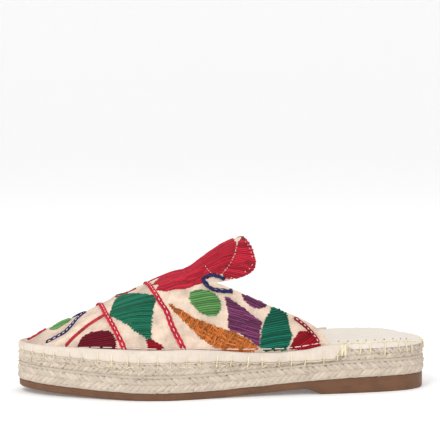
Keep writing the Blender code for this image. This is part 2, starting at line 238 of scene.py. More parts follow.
TURN_NUDGE = 0.004
PLAN_TURNS = [turn_of(row[0]) for row in PLAN_ROWS]
half_at = smooth_curve(PLAN_TURNS, [row[1] * BALL_HALF for row in PLAN_ROWS])
middle_at = smooth_curve(PLAN_TURNS, [row[2] * BALL_HALF for row in PLAN_ROWS])
pitch_at = table_curve(PITCH_ROWS, 1, HEEL_LIFT)


def rim_point(turn, side, offset=0.0):
    """Point of the outline, moved out by offset. side is -1 on the outer side and +1 on the inner."""
    def bare(angle):
        return LENGTH / 2 - LENGTH * station_of(angle), middle_at(angle) + side * half_at(angle)

    x, y = bare(turn)
    if turn <= 0.0 or turn >= math.pi:
        return x + (offset if turn <= 0.0 else -offset), y
    ax, ay = bare(max(turn - TURN_NUDGE, 0.0))
    bx, by = bare(min(turn + TURN_NUDGE, math.pi))
    along = math.hypot(bx - ax, by - ay)
    return x + side * (by - ay) / along * offset, y - side * (bx - ax) / along * offset


def station_at(x):
    return (LENGTH / 2 - x) / LENGTH


def split_level(station):
    """Height of the joint between the two braided courses."""
    spring = max(0.0, (station - SPRING_START) / (1 - SPRING_START))
    return pitch_at(station) + TOE_SPRING * spring ** SPRING_POWER + OUTSOLE_THICK + LOWER_THICK


def braid_top(station):
    return split_level(station) + UPPER_THICK


RIM_STEPS = 720
rim_walk = [(math.pi * k / RIM_STEPS, -1) for k in range(RIM_STEPS)]
rim_walk += [(math.pi * k / RIM_STEPS, 1) for k in range(RIM_STEPS, -1, -1)]
rim_reach = [0.0]
for here, there in zip(rim_walk, rim_walk[1:]):
    rim_reach.append(rim_reach[-1] + (Vector(rim_point(*here)) - Vector(rim_point(*there))).length)
RIM_LENGTH = rim_reach[-1]


def rim_place(distance):
    """Turn and side at a distance walked from the back of the heel along the outer side and round the toe."""
    distance %= RIM_LENGTH
    low, high = 0, len(rim_reach) - 1
    while high - low > 1:
        mid = (low + high) // 2
        low, high = (mid, high) if rim_reach[mid] <= distance else (low, mid)
    share = (distance - rim_reach[low]) / max(rim_reach[high] - rim_reach[low], 1e-9)
    turn, side = rim_walk[low]
    return turn + (rim_walk[high][0] - turn) * share, side


def rim_station(distance):
    return station_of(rim_place(distance)[0])


def beside_rim(distance, offset, height):
    """Point beside the outline at a walked distance."""
    return Vector((*rim_point(*rim_place(distance), offset), height))


def rim_spot(distance, offset, level_at, rise):
    """The same at a level that follows the platform."""
    return beside_rim(distance, offset, level_at(rim_station(distance)) + rise)


def distance_at_x(x, side=-1):
    """Walked distance of the point of one side that lies at x."""
    turn = turn_of(station_at(x))
    k = turn / math.pi * RIM_STEPS
    outer = rim_reach[int(k)] + (rim_reach[int(k) + 1] - rim_reach[int(k)]) * (k - int(k))
    return outer if side < 0 else RIM_LENGTH - outer


print("round the platform:", round(RIM_LENGTH / MM), "mm")

# %% [markdown]
# ## Shared finishes
# Cloth, yarn and handling marks are needed on many pieces. Each is a node group: a small recipe with its
# own inputs and outputs that a material can place and tune. The groups only put out heights and tones. The
# shader itself stays in the material, where its fixed values can be read and exported.

# %% Node helpers
def tint(red, green, blue):
    """Colour from screen values, as Blender's linear colour."""
    def channel(value):
        share = value / 255
        return share / 12.92 if share <= 0.04045 else ((share + 0.055) / 1.055) ** 2.4

    return channel(red), channel(green), channel(blue), 1.0


def add_node(tree, kind, inputs=None, **settings):
    """New node with its settings, and with each input set to a value or linked from a socket."""
    made = tree.nodes.new(kind)
    for name, value in settings.items():
        setattr(made, name, value)
    for name, value in (inputs or {}).items():
        if isinstance(value, bpy.types.NodeSocket):
            tree.links.new(value, made.inputs[name])
        else:
            made.inputs[name].default_value = value
    return made


def new_group(name, inputs, outputs):
    tree = bpy.data.node_groups.new(name, "ShaderNodeTree")
    for label, kind, value in inputs:
        socket = tree.interface.new_socket(label, in_out="INPUT", socket_type=kind)
        if value is not None:
            socket.default_value = value
    for label in outputs:
        tree.interface.new_socket(label, in_out="OUTPUT", socket_type="NodeSocketFloat")
    return tree, tree.nodes.new("NodeGroupInput").outputs, tree.nodes.new("NodeGroupOutput").inputs


def math_node(tree, operation, a, b=0.0):
    return add_node(tree, "ShaderNodeMath", {0: a, 1: b}, operation=operation).outputs[0]


def stretched(tree, vector, scale):
    return add_node(tree, "ShaderNodeMapping", {0: vector, "Scale": scale}).outputs[0]


def noise(tree, vector, scale=1.0, detail=3.0, **inputs):
    inputs.update({"Vector": vector, "Scale": scale, "Detail": detail})
    return add_node(tree, "ShaderNodeTexNoise", inputs).outputs[0]


def ranged(tree, value, low, high, to_low=0.0, to_high=1.0):
    """A value carried from one range to another."""
    inputs = {"Value": value, "From Min": low, "From Max": high, "To Min": to_low, "To Max": to_high}
    return add_node(tree, "ShaderNodeMapRange", inputs).outputs[0]


def bump_node(tree, height, strength, depth):
    """Bump with its depth in mm."""
    return add_node(tree, "ShaderNodeBump", {"Height": height, "Strength": strength, "Distance": depth * MM})


print("helpers ready")

# %% Weave, yarn and handling groups
VECTOR, FLOAT = "NodeSocketVector", "NodeSocketFloat"
weave_group, given, result = new_group(
    "plain_weave", [("Vector", VECTOR, None), ("Threads per mm", FLOAT, 1.6)], ["Height", "Tone"])
split = add_node(weave_group, "ShaderNodeSeparateXYZ", {0: given["Vector"]})
waves = []
for axis in (0, 1):
    phase = math_node(weave_group, "MULTIPLY", split.outputs[axis], given["Threads per mm"])
    waves.append(math_node(weave_group, "SINE", math_node(weave_group, "MULTIPLY", phase, math.pi)))
over_under = math_node(weave_group, "MULTIPLY", waves[0], waves[1])
weave_group.links.new(math_node(weave_group, "ABSOLUTE", over_under), result["Height"])
slub = noise(weave_group, stretched(weave_group, given["Vector"], (0.12, 1.5, 1.0)))
cross = noise(weave_group, stretched(weave_group, given["Vector"], (1.5, 0.12, 1.0)))
slubs = math_node(weave_group, "ADD", slub, cross)
weave_group.links.new(math_node(weave_group, "MULTIPLY", slubs, 0.5), result["Tone"])

THREAD_SHIFT = 37.0
yarn_group, given, result = new_group(
    "yarn_fibres", [("Fibres", FLOAT, 3.0), ("Stretch", FLOAT, 0.25)], ["Height", "Tone"])
strand_read = add_node(yarn_group, "ShaderNodeAttribute", attribute_name="strand")
tone_read = add_node(yarn_group, "ShaderNodeAttribute", attribute_name="strand_tone")
scale = add_node(yarn_group, "ShaderNodeCombineXYZ",
                 {0: given["Stretch"], 1: given["Fibres"], 2: given["Fibres"]})
fibre_map = add_node(yarn_group, "ShaderNodeVectorMath",
                     {0: strand_read.outputs["Vector"], 1: scale.outputs[0]}, operation="MULTIPLY")
own_spot = math_node(yarn_group, "MULTIPLY", tone_read.outputs["Fac"], THREAD_SHIFT)
own_shift = add_node(yarn_group, "ShaderNodeCombineXYZ", {0: own_spot, 1: own_spot, 2: 0.0})
fibre_at = add_node(yarn_group, "ShaderNodeVectorMath", {0: fibre_map.outputs[0], 1: own_shift.outputs[0]})
fibres = noise(yarn_group, fibre_at.outputs[0], detail=4.0)
yarn_group.links.new(fibres, result["Height"])
mixed = math_node(yarn_group, "ADD", math_node(yarn_group, "MULTIPLY", fibres, 0.5),
                  math_node(yarn_group, "MULTIPLY", tone_read.outputs["Fac"], 0.5))
yarn_group.links.new(mixed, result["Tone"])

handling_group, given, result = new_group("handling", [("Size mm", FLOAT, 11.0)], ["Tone"])
spot = add_node(handling_group, "ShaderNodeTexCoord")
per_metre = math_node(handling_group, "DIVIDE", 1000.0, given["Size mm"])
blotch = noise(handling_group, spot.outputs["Object"], per_metre, 4.0, Roughness=0.6)
handling_group.links.new(blotch, result["Tone"])
print("groups:", [g.name for g in bpy.data.node_groups])

# %% [markdown]
# ## Materials
# Two kinds of cloth material cover the shoe: woven cloth, which reads a flat pair of cloth coordinates kept
# on the mesh, and yarn, which reads how far along and how far round each thread a point lies. Both vary the
# brightness of one colour and raise a small bump, because real cloth is never one even tone.

# %% Woven cloth and yarn materials
def start_material(name, colour, roughness, sheen=0.0):
    material = bpy.data.materials.new(name)
    material.use_nodes = True
    tree = material.node_tree
    shader = tree.nodes["Principled BSDF"]
    shader.inputs["Roughness"].default_value = roughness
    shader.inputs["Sheen Weight"].default_value = sheen
    shader.inputs["Specular IOR Level"].default_value = 0.25
    material.diffuse_color = tint(*colour)
    return material, tree, shader


def shade_by(tree, colour, tone, contrast, handling=0.0):
    """Brightness of a colour varied by a tone, and a little by handling marks."""
    value = ranged(tree, tone, 0.25, 0.75, 1 - contrast, 1 + contrast)
    if handling:
        marks = add_node(tree, "ShaderNodeGroup", node_tree=handling_group)
        soft = ranged(tree, marks.outputs["Tone"], 0.3, 0.7, 1 - handling, 1 + handling * 0.4)
        value = math_node(tree, "MULTIPLY", value, soft)
    return add_node(tree, "ShaderNodeHueSaturation", {"Value": value, "Color": tint(*colour)}).outputs[0]


def woven(name, colour, threads=1.6, bump=0.12, contrast=0.05, handling=0.05, roughness=0.85, wrinkles=0.0):
    material, tree, shader = start_material(name, colour, roughness, 0.15)
    cloth = add_node(tree, "ShaderNodeAttribute", attribute_name="cloth")
    weave = add_node(tree, "ShaderNodeGroup", {"Vector": cloth.outputs["Vector"]}, node_tree=weave_group)
    weave.inputs["Threads per mm"].default_value = threads
    shade = shade_by(tree, colour, weave.outputs["Tone"], contrast, handling)
    tree.links.new(shade, shader.inputs["Base Color"])
    both = math_node(tree, "ADD", weave.outputs["Height"], weave.outputs["Tone"])
    raised = bump_node(tree, both, 0.6, bump)
    if wrinkles:
        folds = noise(tree, cloth.outputs["Vector"], 0.13, Distortion=0.6)
        soft = bump_node(tree, folds, 0.8, wrinkles)
        tree.links.new(soft.outputs[0], raised.inputs["Normal"])
    tree.links.new(raised.outputs[0], shader.inputs["Normal"])
    return material


def yarn(name, colour, fibres=3.0, stretch=0.25, bump=0.15, contrast=0.22, roughness=0.7):
    material, tree, shader = start_material(name, colour, roughness)
    fibre = add_node(tree, "ShaderNodeGroup", node_tree=yarn_group)
    fibre.inputs["Fibres"].default_value = fibres
    fibre.inputs["Stretch"].default_value = stretch
    tree.links.new(shade_by(tree, colour, fibre.outputs["Tone"], contrast), shader.inputs["Base Color"])
    raised = bump_node(tree, fibre.outputs["Height"], 0.7, bump)
    tree.links.new(raised.outputs[0], shader.inputs["Normal"])
    return material


canvas_beige = woven("canvas_beige", (243, 218, 196), threads=1.8, bump=0.2, contrast=0.09, handling=0.36,
                     wrinkles=2.6)
canvas_cream = woven("canvas_cream", (235, 221, 206), threads=1.4, contrast=0.09, handling=0.1, wrinkles=1.2)
lining_cotton = woven("lining_cotton", (226, 208, 188), threads=2.2)
sock_cotton = woven("sock_cotton", (236, 226, 215), threads=2.4, bump=0.06, contrast=0.03, handling=0.05)
jute_yarn = yarn("jute_yarn", (221, 206, 189), fibres=6.0, stretch=0.22, bump=0.6, contrast=0.1,
                 roughness=0.9)
# A little darker than the jute yarn: painted shade in the gaps between the yarns
jute_core_painted_shade = woven("jute_core_painted_shade", (212, 196, 177), threads=0.8, bump=0.3, contrast=0.1)
cream_thread = yarn("cream_thread", (246, 234, 204), contrast=0.12)
rose_thread = yarn("rose_thread", (250, 226, 218), contrast=0.08)
print("cloth and yarn:", [m.name for m in bpy.data.materials])

# %% [markdown]
# ## Outsole
# The sole plate and its low heel block are one moulded piece of brown rubber, and the solid already has its
# shape. So the solid stays and only gets a finish: fine streaks along the wall, a dull sheen, and a shallow
# ribbed tread that shows on faces that look down. The tread is a wave on Object coordinates, masked by the
# face's own direction.

# %% Rubber of the outsole
RUBBER = (118, 83, 60)
rubber, tree, shader = start_material("outsole_rubber", RUBBER, 0.5)
spot = add_node(tree, "ShaderNodeTexCoord")
streaks = noise(tree, stretched(tree, spot.outputs["Object"], (90.0, 90.0, 700.0)), detail=5.0)
tree.links.new(shade_by(tree, RUBBER, streaks, 0.12, 0.2), shader.inputs["Base Color"])
tree.links.new(ranged(tree, streaks, 0.3, 0.7, 0.38, 0.62), shader.inputs["Roughness"])
geometry = add_node(tree, "ShaderNodeNewGeometry")
facing = add_node(tree, "ShaderNodeSeparateXYZ", {0: geometry.outputs["Normal"]})
downward = ranged(tree, facing.outputs[2], -0.9, -0.97)
ribs = add_node(tree, "ShaderNodeTexWave",
                {"Vector": spot.outputs["Object"], "Scale": 90.0, "Distortion": 1.5},
                wave_type="BANDS", bands_direction="X")
tread = math_node(tree, "MULTIPLY", ribs.outputs["Fac"], downward)
relief = math_node(tree, "ADD", tread, math_node(tree, "MULTIPLY", streaks, 0.25))
raised = bump_node(tree, relief, 0.8, 0.4)
tree.links.new(raised.outputs[0], shader.inputs["Normal"])
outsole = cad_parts["outsole"]
outsole.data.materials.clear()
outsole.data.materials.append(rubber)

# %% [markdown]
# ## Threads as curves
# Braid, embroidery and seams are all thread. A curve with a round bevel is the shortest way to a thread:
# its points say where it runs and how thick it is there. One curve object can hold hundreds of threads, and
# it is turned into a mesh once, so the result is a plain piece. Each point keeps how far along and how far
# round its thread it lies, for the yarn material, and each thread keeps one tone, which is random where
# none is chosen.

# %% From threads to a mesh
def finish_piece(name, mesh, slot, *replaced):
    """A mesh as a piece that rides on the shoe and may stand for solids, which are hidden. slot is not used.
    """
    obj = bpy.data.objects.new(name, mesh)
    scene.collection.objects.link(obj)
    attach(obj, "root")
    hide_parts(*replaced)


def thread_mesh(name, threads, radius, sides=4, twist=0.0):
    """Each thread is its (place, share of the radius) points, whether it is closed, and a tone if chosen."""
    curve = bpy.data.curves.new(name + "_line", "CURVE")
    curve.dimensions = "3D"
    curve.bevel_depth = radius
    curve.bevel_resolution = (sides - 4) // 2
    strand, tones = [], []
    for points, closed, *chosen in threads:
        spline = curve.splines.new("POLY")
        spline.points.add(len(points) - 1)
        spline.use_cyclic_u = closed
        tone = chosen[0] if chosen else dice.random()
        along = 0.0
        for k, (place, share) in enumerate(points):
            spline.points[k].co = (*place, 1.0)
            spline.points[k].radius = share
            if k:
                along += (place - points[k - 1][0]).length / MM
            for n in range(sides):
                angle = 2 * math.pi * n / sides + along * twist
                strand += (along, math.cos(angle), math.sin(angle))
                tones.append(tone)
    holder = bpy.data.objects.new(name + "_line", curve)
    scene.collection.objects.link(holder)
    mesh = bpy.data.meshes.new_from_object(holder.evaluated_get(bpy.context.evaluated_depsgraph_get()))
    bpy.data.objects.remove(holder)
    bpy.data.curves.remove(curve)
    mesh.name = name
    bm = bmesh.new()
    bm.from_mesh(mesh)
    bmesh.ops.holes_fill(bm, edges=[e for e in bm.edges if e.is_boundary], sides=0)
    bmesh.ops.recalc_face_normals(bm, faces=bm.faces)
    bm.to_mesh(mesh)
    bm.free()
    if len(mesh.vertices) != len(tones):
        raise ValueError(f"{name}: {len(mesh.vertices)} points made, {len(tones)} expected")
    mesh.attributes.new("strand", "FLOAT_VECTOR", "POINT").data.foreach_set("vector", strand)
    mesh.attributes.new("strand_tone", "FLOAT", "POINT").data.foreach_set("value", tones)
    mesh.shade_smooth()
    return mesh


def thread_piece(name, threads, radius, material, slot):
    mesh = thread_mesh(name, threads, radius)
    mesh.materials.append(material)
    finish_piece(name, mesh, slot)
    print(name, len(threads), "threads,", sum(len(p.vertices) - 2 for p in mesh.polygons), "triangles")


print("thread helpers ready")

# %% [markdown]
# ## Skins round the platform
# Band and insole are skins that follow the outline. A flat grid is made by one operator, and each of its
# corners is then carried to its place by two shares: how far round the shoe, and how far over the section.
# That gives clean rows of faces that a texture can follow. Where rows meet, the doubles are merged.

# %% A grid carried onto a form
def carried_grid(name, steps_along, steps_over, place, cloth_at, material):
    """Mesh of a grid. place and cloth_at turn both shares into a point and into cloth coordinates."""
    bm = bmesh.new()
    bmesh.ops.create_grid(bm, x_segments=steps_along, y_segments=steps_over, size=1.0)
    layer = bm.verts.layers.float_vector.new("cloth")
    for vert in bm.verts:
        along = (vert.co.x + 1) / 2
        over = (vert.co.y + 1) / 2
        vert.co = place(along, over)
        vert[layer] = cloth_at(along, over, vert.co)
    bmesh.ops.remove_doubles(bm, verts=bm.verts, dist=0.02 * MM)
    open_edges = [e for e in bm.edges if e.is_boundary]
    if open_edges:
        bmesh.ops.holes_fill(bm, edges=open_edges, sides=0)
    bmesh.ops.recalc_face_normals(bm, faces=bm.faces)
    print(name, len(bm.faces), "faces")
    return mesh_of(bm, name, material)


def round_share(share):
    """Turn and side for a share of the way round, from the back of the heel along the outer side."""
    if share <= 0.5:
        return math.pi * 2 * share, -1
    return math.pi * (2 - 2 * share), 1


def rows_at(rows, share):
    """Entry of a table of rows between its ends, by a share of its length."""
    spot = share * (len(rows) - 1)
    k = min(int(spot), len(rows) - 2)
    return [a + (b - a) * (spot - k) for a, b in zip(rows[k], rows[k + 1])]


print("turn and side half way round:", [round(v, 2) for v in round_share(0.5)])

# %% [markdown]
# ## Braided jute platform
# Each course is a wound braid. Seen from the side its yarns come from the edges and meet in a middle
# crease. They all point the same way round the shoe, which is to the heel on the outer side. A bump map
# can't give the knobbly outline, so every yarn is a fat short thread of its own, thick in the middle and
# thin at its ends, laid over a core. The core is a copy of the solid, drawn in a little, so that the gaps
# between the yarns have something behind them. Its colour is a little darker than the yarns, which paints
# shade into the gaps.

# %% Yarns of one course
YARN_PARTS = 6
CORE_SHRINK = (0.986, 0.960, 0.98)


def course_yarns(level_at, thick, drawn_in, pitch, slant, radius):
    """Yarns in two rows that slant from both edges of a course to its middle crease."""
    yarns = []
    count = round(RIM_LENGTH / pitch)
    for row, edge_share in ((0, 0.12), (1, 0.88)):
        for k in range(count):
            start = (k + 0.5 * row) * RIM_LENGTH / count + dice.uniform(-0.4, 0.4) * MM
            plump = dice.uniform(0.94, 1.06)
            points = []
            for n in range(YARN_PARTS + 1):
                t = n / YARN_PARTS
                share = edge_share + (0.5 - edge_share) * t
                bulge = math.sin(math.pi * (0.15 + 0.72 * t))
                out = -drawn_in - radius + (0.8 * bulge - 0.7 + dice.uniform(-0.2, 0.2)) * MM
                spot = rim_spot(start + slant * (0.5 - t), out, level_at, thick * share)
                points.append((spot, plump * (0.7 + 0.3 * bulge)))
            yarns.append((points, False))
    return yarns


def course_core(node):
    """Copy of a solid course, merged from its loose triangles and drawn in from the sides."""
    bm = bmesh.new()
    bm.from_mesh(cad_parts[node].data)
    bmesh.ops.remove_doubles(bm, verts=bm.verts, dist=0.01 * MM)
    middle = (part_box(node)[0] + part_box(node)[1]) / 2
    bmesh.ops.scale(bm, vec=CORE_SHRINK, verts=bm.verts, space=Matrix.Translation(-middle))
    return bm


def platform_foot(station):
    return split_level(station) - LOWER_THICK


COURSES = (  # node, level of its foot, thickness, drawn in by, pitch and slant of the yarns, their radius
    ("jute_lower", platform_foot, LOWER_THICK, 0.0, 3.9 * MM, 6.4 * MM, 1.8 * MM),
    ("jute_upper", split_level, UPPER_THICK, 0.8 * MM, 3.3 * MM, 5.2 * MM, 1.45 * MM),
)
CORD_STEP = 3 * MM


def edge_cord(level_at, rise, out, radius, share):
    """A jute cord round the platform that fills the joint beside a course, with its share of the radius."""
    count = round(RIM_LENGTH / CORD_STEP)
    return ([(rim_spot(RIM_LENGTH * k / count, out - radius * share + dice.uniform(-0.1, 0.1) * MM, level_at,
                       rise + dice.uniform(-0.1, 0.1) * MM), share * dice.uniform(0.92, 1.08))
             for k in range(count)], True)


for node, level_at, thick, drawn_in, pitch, slant, radius in COURSES:
    yarns = course_yarns(level_at, thick, drawn_in, pitch, slant, radius)
    yarns.append(edge_cord(level_at, thick - 0.2 * MM, -drawn_in - 0.35 * MM, radius, 0.55))
    yarns.append(edge_cord(level_at, 0.9 * MM, -drawn_in - 0.5 * MM, radius, 0.5))
    braid = thread_mesh(node + "_yarns", yarns, radius, sides=6, twist=0.5)
    braid.materials.append(jute_yarn)
    braid.materials.append(jute_core_painted_shade)
    bm = course_core(node)
    layer = bm.verts.layers.float_vector.new("cloth")
    for vert in bm.verts:
        vert[layer] = (vert.co.x / MM, vert.co.z / MM, 0.0)
    for face in bm.faces:
        face.material_index = 1
        face.smooth = True
    bm.from_mesh(braid)
    bm.to_mesh(braid)
    bm.free()
    finish_piece(node.replace("jute", "braid"), braid, "jute_braid", node)
    print(node, len(yarns), "yarns,", len(braid.polygons), "faces")

# %% [markdown]
# Loose fibres stand out of real jute. A few hundred very thin threads, bent a little and set by a seeded
# dice, break up the clean outline. They are cheaper than a hair system and come out the same on every run.

# %% Loose jute fibres
FIBRES = 420
FIBRE_RADIUS = 0.16 * MM
fibres = []
for n in range(FIBRES):
    start = dice.uniform(0, RIM_LENGTH)
    rise = dice.uniform(0.6, LOWER_THICK / MM + UPPER_THICK / MM - 4.0) * MM
    lean = dice.uniform(-4.0, 4.0) * MM
    lift = dice.uniform(-1.5, 1.5) * MM
    out = dice.uniform(0.0, 0.6) * MM
    points = [(rim_spot(start, -0.6 * MM, platform_foot, rise), 1.0),
              (rim_spot(start + lean / 2, out * 0.6, platform_foot, rise + lift * 0.7), 0.8),
              (rim_spot(start + lean, out, platform_foot, rise + lift), 0.3)]
    fibres.append((points, False))
thread_piece("jute_fibres", fibres, FIBRE_RADIUS, jute_yarn, "jute_braid")

# %% [markdown]
# Short dark threads over the upper course paint the shade of the small gaps in the braid. Each is a short
# thread that slants one way or the other and dips in at both ends, so only its middle shows.

# %% Painted shade of the gaps in the upper course
GAP_SHADE_COUNT = 330
GAP_SHADE_RADIUS = 0.26 * MM
GAP_SHADE_ENDS = -1.45 * MM
GAP_SHADE_MIDDLE = -0.95 * MM
# Dark brown yarn: painted shade of the small gaps between the braid's yarns
gap_shade_yarn = yarn("jute_gap_shade", (166, 147, 118), fibres=6.0, contrast=0.25, roughness=0.9)
gap_shade_threads = []
for n in range(GAP_SHADE_COUNT):
    start = dice.uniform(0, RIM_LENGTH)
    rise = dice.uniform(0.8, 7.0) * MM
    long = dice.uniform(0.5, 1.2) * MM
    slope = dice.choice((-0.7, 0.7)) * dice.uniform(0.6, 1.2)
    gap_shade_threads.append(([(rim_spot(start - long, GAP_SHADE_ENDS, split_level, rise - slope * long), 0.4),
                    (rim_spot(start, GAP_SHADE_MIDDLE, split_level, rise), 1.0),
                    (rim_spot(start + long, GAP_SHADE_ENDS, split_level, rise + slope * long), 0.4)], False))
thread_piece("jute_gap_shades", gap_shade_threads, GAP_SHADE_RADIUS, gap_shade_yarn, "jute_braid")

# %% [markdown]
# ## Insole
# The insole is a cream cloth sock over a thin cushion, folded down round the heel. Its section is a short
# table from the under edge, up the side and over a soft roll to the flat middle. A shallow groove on the
# roll takes the pricked holes. The grid's last rows run to the middle line of the shoe, where both halves
# meet, so the piece is closed.

# %% Insole skin
BAND_END = 57 * MM
INSOLE_THICK = 3.6 * MM
INSOLE_LIFT = 0.15 * MM
INSOLE_REAR = -1.0 * MM
INSOLE_FRONT = -3.9 * MM
STEP_BACK, STEP_LONG = 5 * MM, 4 * MM
TOE_SETBACK, TOE_START, TOE_SPAN = 6.0 * MM, 0.85, 0.15
SPINE_REAR, SPINE_FRONT = 12 * MM, 24 * MM
INSOLE_ROWS = (
    (0.00, 0.30), (0.03, 0.42), (0.06, 0.80), (0.10, 1.00), (0.34, 1.00), (0.54, 0.40), (1.00, 0.40))
INSOLE_SECTION = (  # inset in mm, share of the thickness, share of the way to the middle line
    (4.0, 0.02, 1.0), (4.0, 0.02, 0.5), (0.5, -0.26, 0.0), (0.0, -0.2, 0.0), (-0.1, 0.15, 0.0),
    (0.1, 0.50, 0.0), (0.55, 0.72, 0.0), (1.4, 0.87, 0.0), (2.6, 0.96, 0.0), (3.6, 1.00, 0.0),
    (4.3, 0.90, 0.0), (5.0, 1.00, 0.0), (8.0, 1.06, 0.0), (12.5, 1.12, 0.0), (12.5, 1.13, 0.35),
    (12.5, 1.13, 0.7), (12.5, 1.13, 1.0),
)
insole_thick_at = table_curve(INSOLE_ROWS, 1, INSOLE_THICK)


def insole_edge(station):
    """Offset of the insole's edge: near the rim round the heel, inside the vamp in front."""
    inside = INSOLE_FRONT - TOE_SETBACK * max(0.0, (station - TOE_START) / TOE_SPAN)
    share = min(max((station * LENGTH - BAND_END + STEP_BACK) / STEP_LONG, 0.0), 1.0)
    return INSOLE_REAR + (inside - INSOLE_REAR) * share


def insole_skin(turn, side, inset, height, to_middle=0.0):
    """Point of the sock. inset is in mm, height a share of the thickness."""
    station = station_of(turn)
    x, y = rim_point(turn, side, insole_edge(station) - inset * MM)
    spine = LENGTH / 2 - inset * MM - SPINE_REAR
    spine_x = min(max(LENGTH / 2 - LENGTH * station, -LENGTH / 2 + SPINE_FRONT), spine)
    x += (spine_x - x) * to_middle
    y += (middle_at(turn_of(station_at(spine_x))) - y) * to_middle
    place = station_at(x)
    return Vector((x, y, braid_top(place) + INSOLE_LIFT + height * insole_thick_at(place)))


def insole_place(along, over):
    return insole_skin(*round_share(along), *rows_at(INSOLE_SECTION, over))


def insole_cloth(along, over, spot):
    return spot.x / MM, spot.y / MM + spot.z / MM, 0.0


insole = carried_grid("insole_sock", 280, 48, insole_place, insole_cloth, sock_cotton)
finish_piece("insole_sock", insole, "cream_sock", "insole")

# %% [markdown]
# ## Foxing band
# A strip of cream canvas covers the joint between the vamp and the braid. Blanket stitches pull it in about
# every 10 mm, so its lower half puckers. The section is a rounded strip, and the pucker is a sum of soft
# dents at the stitches' places. Those places are worked out once and used again for the threads.

# %% Band with puckers
BAND_RISE = 8.2 * MM
BAND_DROP = 6.0 * MM
BAND_ROWS = (
    (0.20, 1.00, 0.50), (0.27, 0.97, 0.42), (0.32, 0.92, 0.22), (0.37, 0.82, 0.20), (0.45, 0.48, 0.40),
    (0.54, 0.10, 0.80), (0.62, 0.00, 1.00), (0.74, 0.00, 1.00), (0.85, 0.00, 0.88), (0.93, 0.00, 0.72),
    (1.00, 0.00, 0.60),
)
BAND_SECTION = (  # distance out from the inner face in mm, share of the height
    (0.0, 0.00), (0.9, 0.0), (1.35, 0.03), (1.6, 0.12), (1.8, 0.3), (1.85, 0.5), (1.75, 0.7), (1.5, 0.88),
    (1.2, 0.97), (0.8, 1.0), (0.0, 1.0), (0.0, 0.5), (0.0, 0.0),
)
STITCH_PITCH = 9.5 * MM
PUCKER_HALF, PUCKER_END = 1.5 * MM, 6 * MM
CLIMB, CLIMB_LONG, CLIMB_POWER = 5.2 * MM, 8 * MM, 1.3
band_drop_at = table_curve(BAND_ROWS, 1, BAND_DROP)
band_rise_at = table_curve(BAND_ROWS, 2, BAND_RISE)
band_first = distance_at_x(LENGTH / 2 - BAND_END)
band_last = RIM_LENGTH - band_first
stitch_count = round((band_last - band_first) / STITCH_PITCH)
band_stitches = [band_first + (k + 0.5 + dice.uniform(-0.12, 0.12)) * (band_last - band_first) / stitch_count
                 for k in range(stitch_count)]


def band_inner(station):
    """Offset of the band's inner face: on the braid in front, outside its upper course behind."""
    return 1.8 * MM * min(1.0, band_drop_at(station) / (0.22 * UPPER_THICK)) - 2.18 * MM


def pucker(distance):
    """1 at a stitch, falling away to both sides."""
    return sum(math.exp(-((distance - stitch) / PUCKER_HALF) ** 2) for stitch in band_stitches
               if abs(distance - stitch) < PUCKER_END)


def band_levels(distance):
    """Under and upper edge of the band. The under edge climbs at both ends, where the strip is cut off."""
    station = rim_station(distance)
    to_end = min(distance - band_first, band_last - distance)
    climb = CLIMB * max(0.0, 1 - to_end / CLIMB_LONG) ** CLIMB_POWER
    return (braid_top(station) - band_drop_at(station) + 0.15 * MM + climb,
            braid_top(station) + band_rise_at(station))


def band_place(along, over):
    distance = band_first + (band_last - band_first) * along
    out, height = rows_at(BAND_SECTION, over)
    low, high = band_levels(distance)
    pull = pucker(distance)
    thick = out * (1 - 0.32 * pull * (1 - height)) + 0.25 * math.sin(distance / (2.9 * MM)) * out / 1.8 * 0.3
    rise = low + (high - low) * height + 0.5 * MM * pull * max(0.0, 1 - 2 * height)
    return beside_rim(distance, band_inner(rim_station(distance)) + thick * MM, rise)


def band_cloth(along, over, spot):
    return along * ((band_last - band_first) / MM), over * 30, 0.0


band = carried_grid("foxing_canvas", 340, 24, band_place, band_cloth, canvas_cream)
finish_piece("foxing_canvas", band, "cream_canvas", "foxing_band")

# %% [markdown]
# ## Vamp
# The vamp is one canvas shell that is cut to the top line, with a tab standing at the instep. The solid
# already has its true form, so a merged copy is cut finer and then pressed by listed troughs and ridges,
# where such canvas creases: across the toes and at the root of the tab. Points on the vamp are given by x
# and by the turn round the foot: 0 degrees is level on the outer side, 90 is straight up, 180 is level on
# the inner side. A ray towards the foot's middle line finds the surface there, which is how every stitch
# below lands on the cloth.

# %% Canvas shell with creases
MIDDLE_ROWS = ((-60, 0.0), (40, -0.3), (56, 1.7), (72, 5.3), (88, 8.1), (104, 10.7), (126, 12.6))
MIDDLE_HEIGHT = 24 * MM
middle_y = table_curve(MIDDLE_ROWS, 1, MM)
RIDGE_ROWS = ((-126, 116), (-108, 115), (-92, 111), (-76, 107), (-54, 100.5), (-38, 95.5), (20, 93), (60, 93))
CREASES = (  # x mm, turn, half length mm, half width mm, lean degrees, depth mm
    (-40, 60, 16, 3.0, 70, 1.0), (-33, 45, 14, 2.6, 60, 0.8), (-55, 35, 12, 3.0, 50, 0.7),
    (-84, 70, 14, 2.6, 75, 0.9), (-97, 55, 12, 2.4, 60, 0.8), (-104, 95, 12, 2.6, 85, 0.6),
    (-16, 72, 13, 3.5, 25, 1.1), (-22, 95, 14, 3.5, 85, 1.0), (-60, 110, 14, 3.0, 80, 0.8),
    (-35, 130, 15, 3.0, -70, 0.8), (4, 45, 12, 3.0, -40, 0.7), (30, 25, 10, 3.0, -60, 0.6),
    (-10, 25, 12, 3.0, 40, 0.6), (-75, 140, 14, 3.0, -60, 0.7), (48, 18, 8, 2.5, -70, 0.4),
    (8, 84, 12, 4.0, 10, -0.6), (-60, 22, 12, 3.0, 60, 0.6), (-28, 22, 12, 3.0, -50, 0.6),
    (-107, 106, 24, 9.0, 10, -2.6),
)


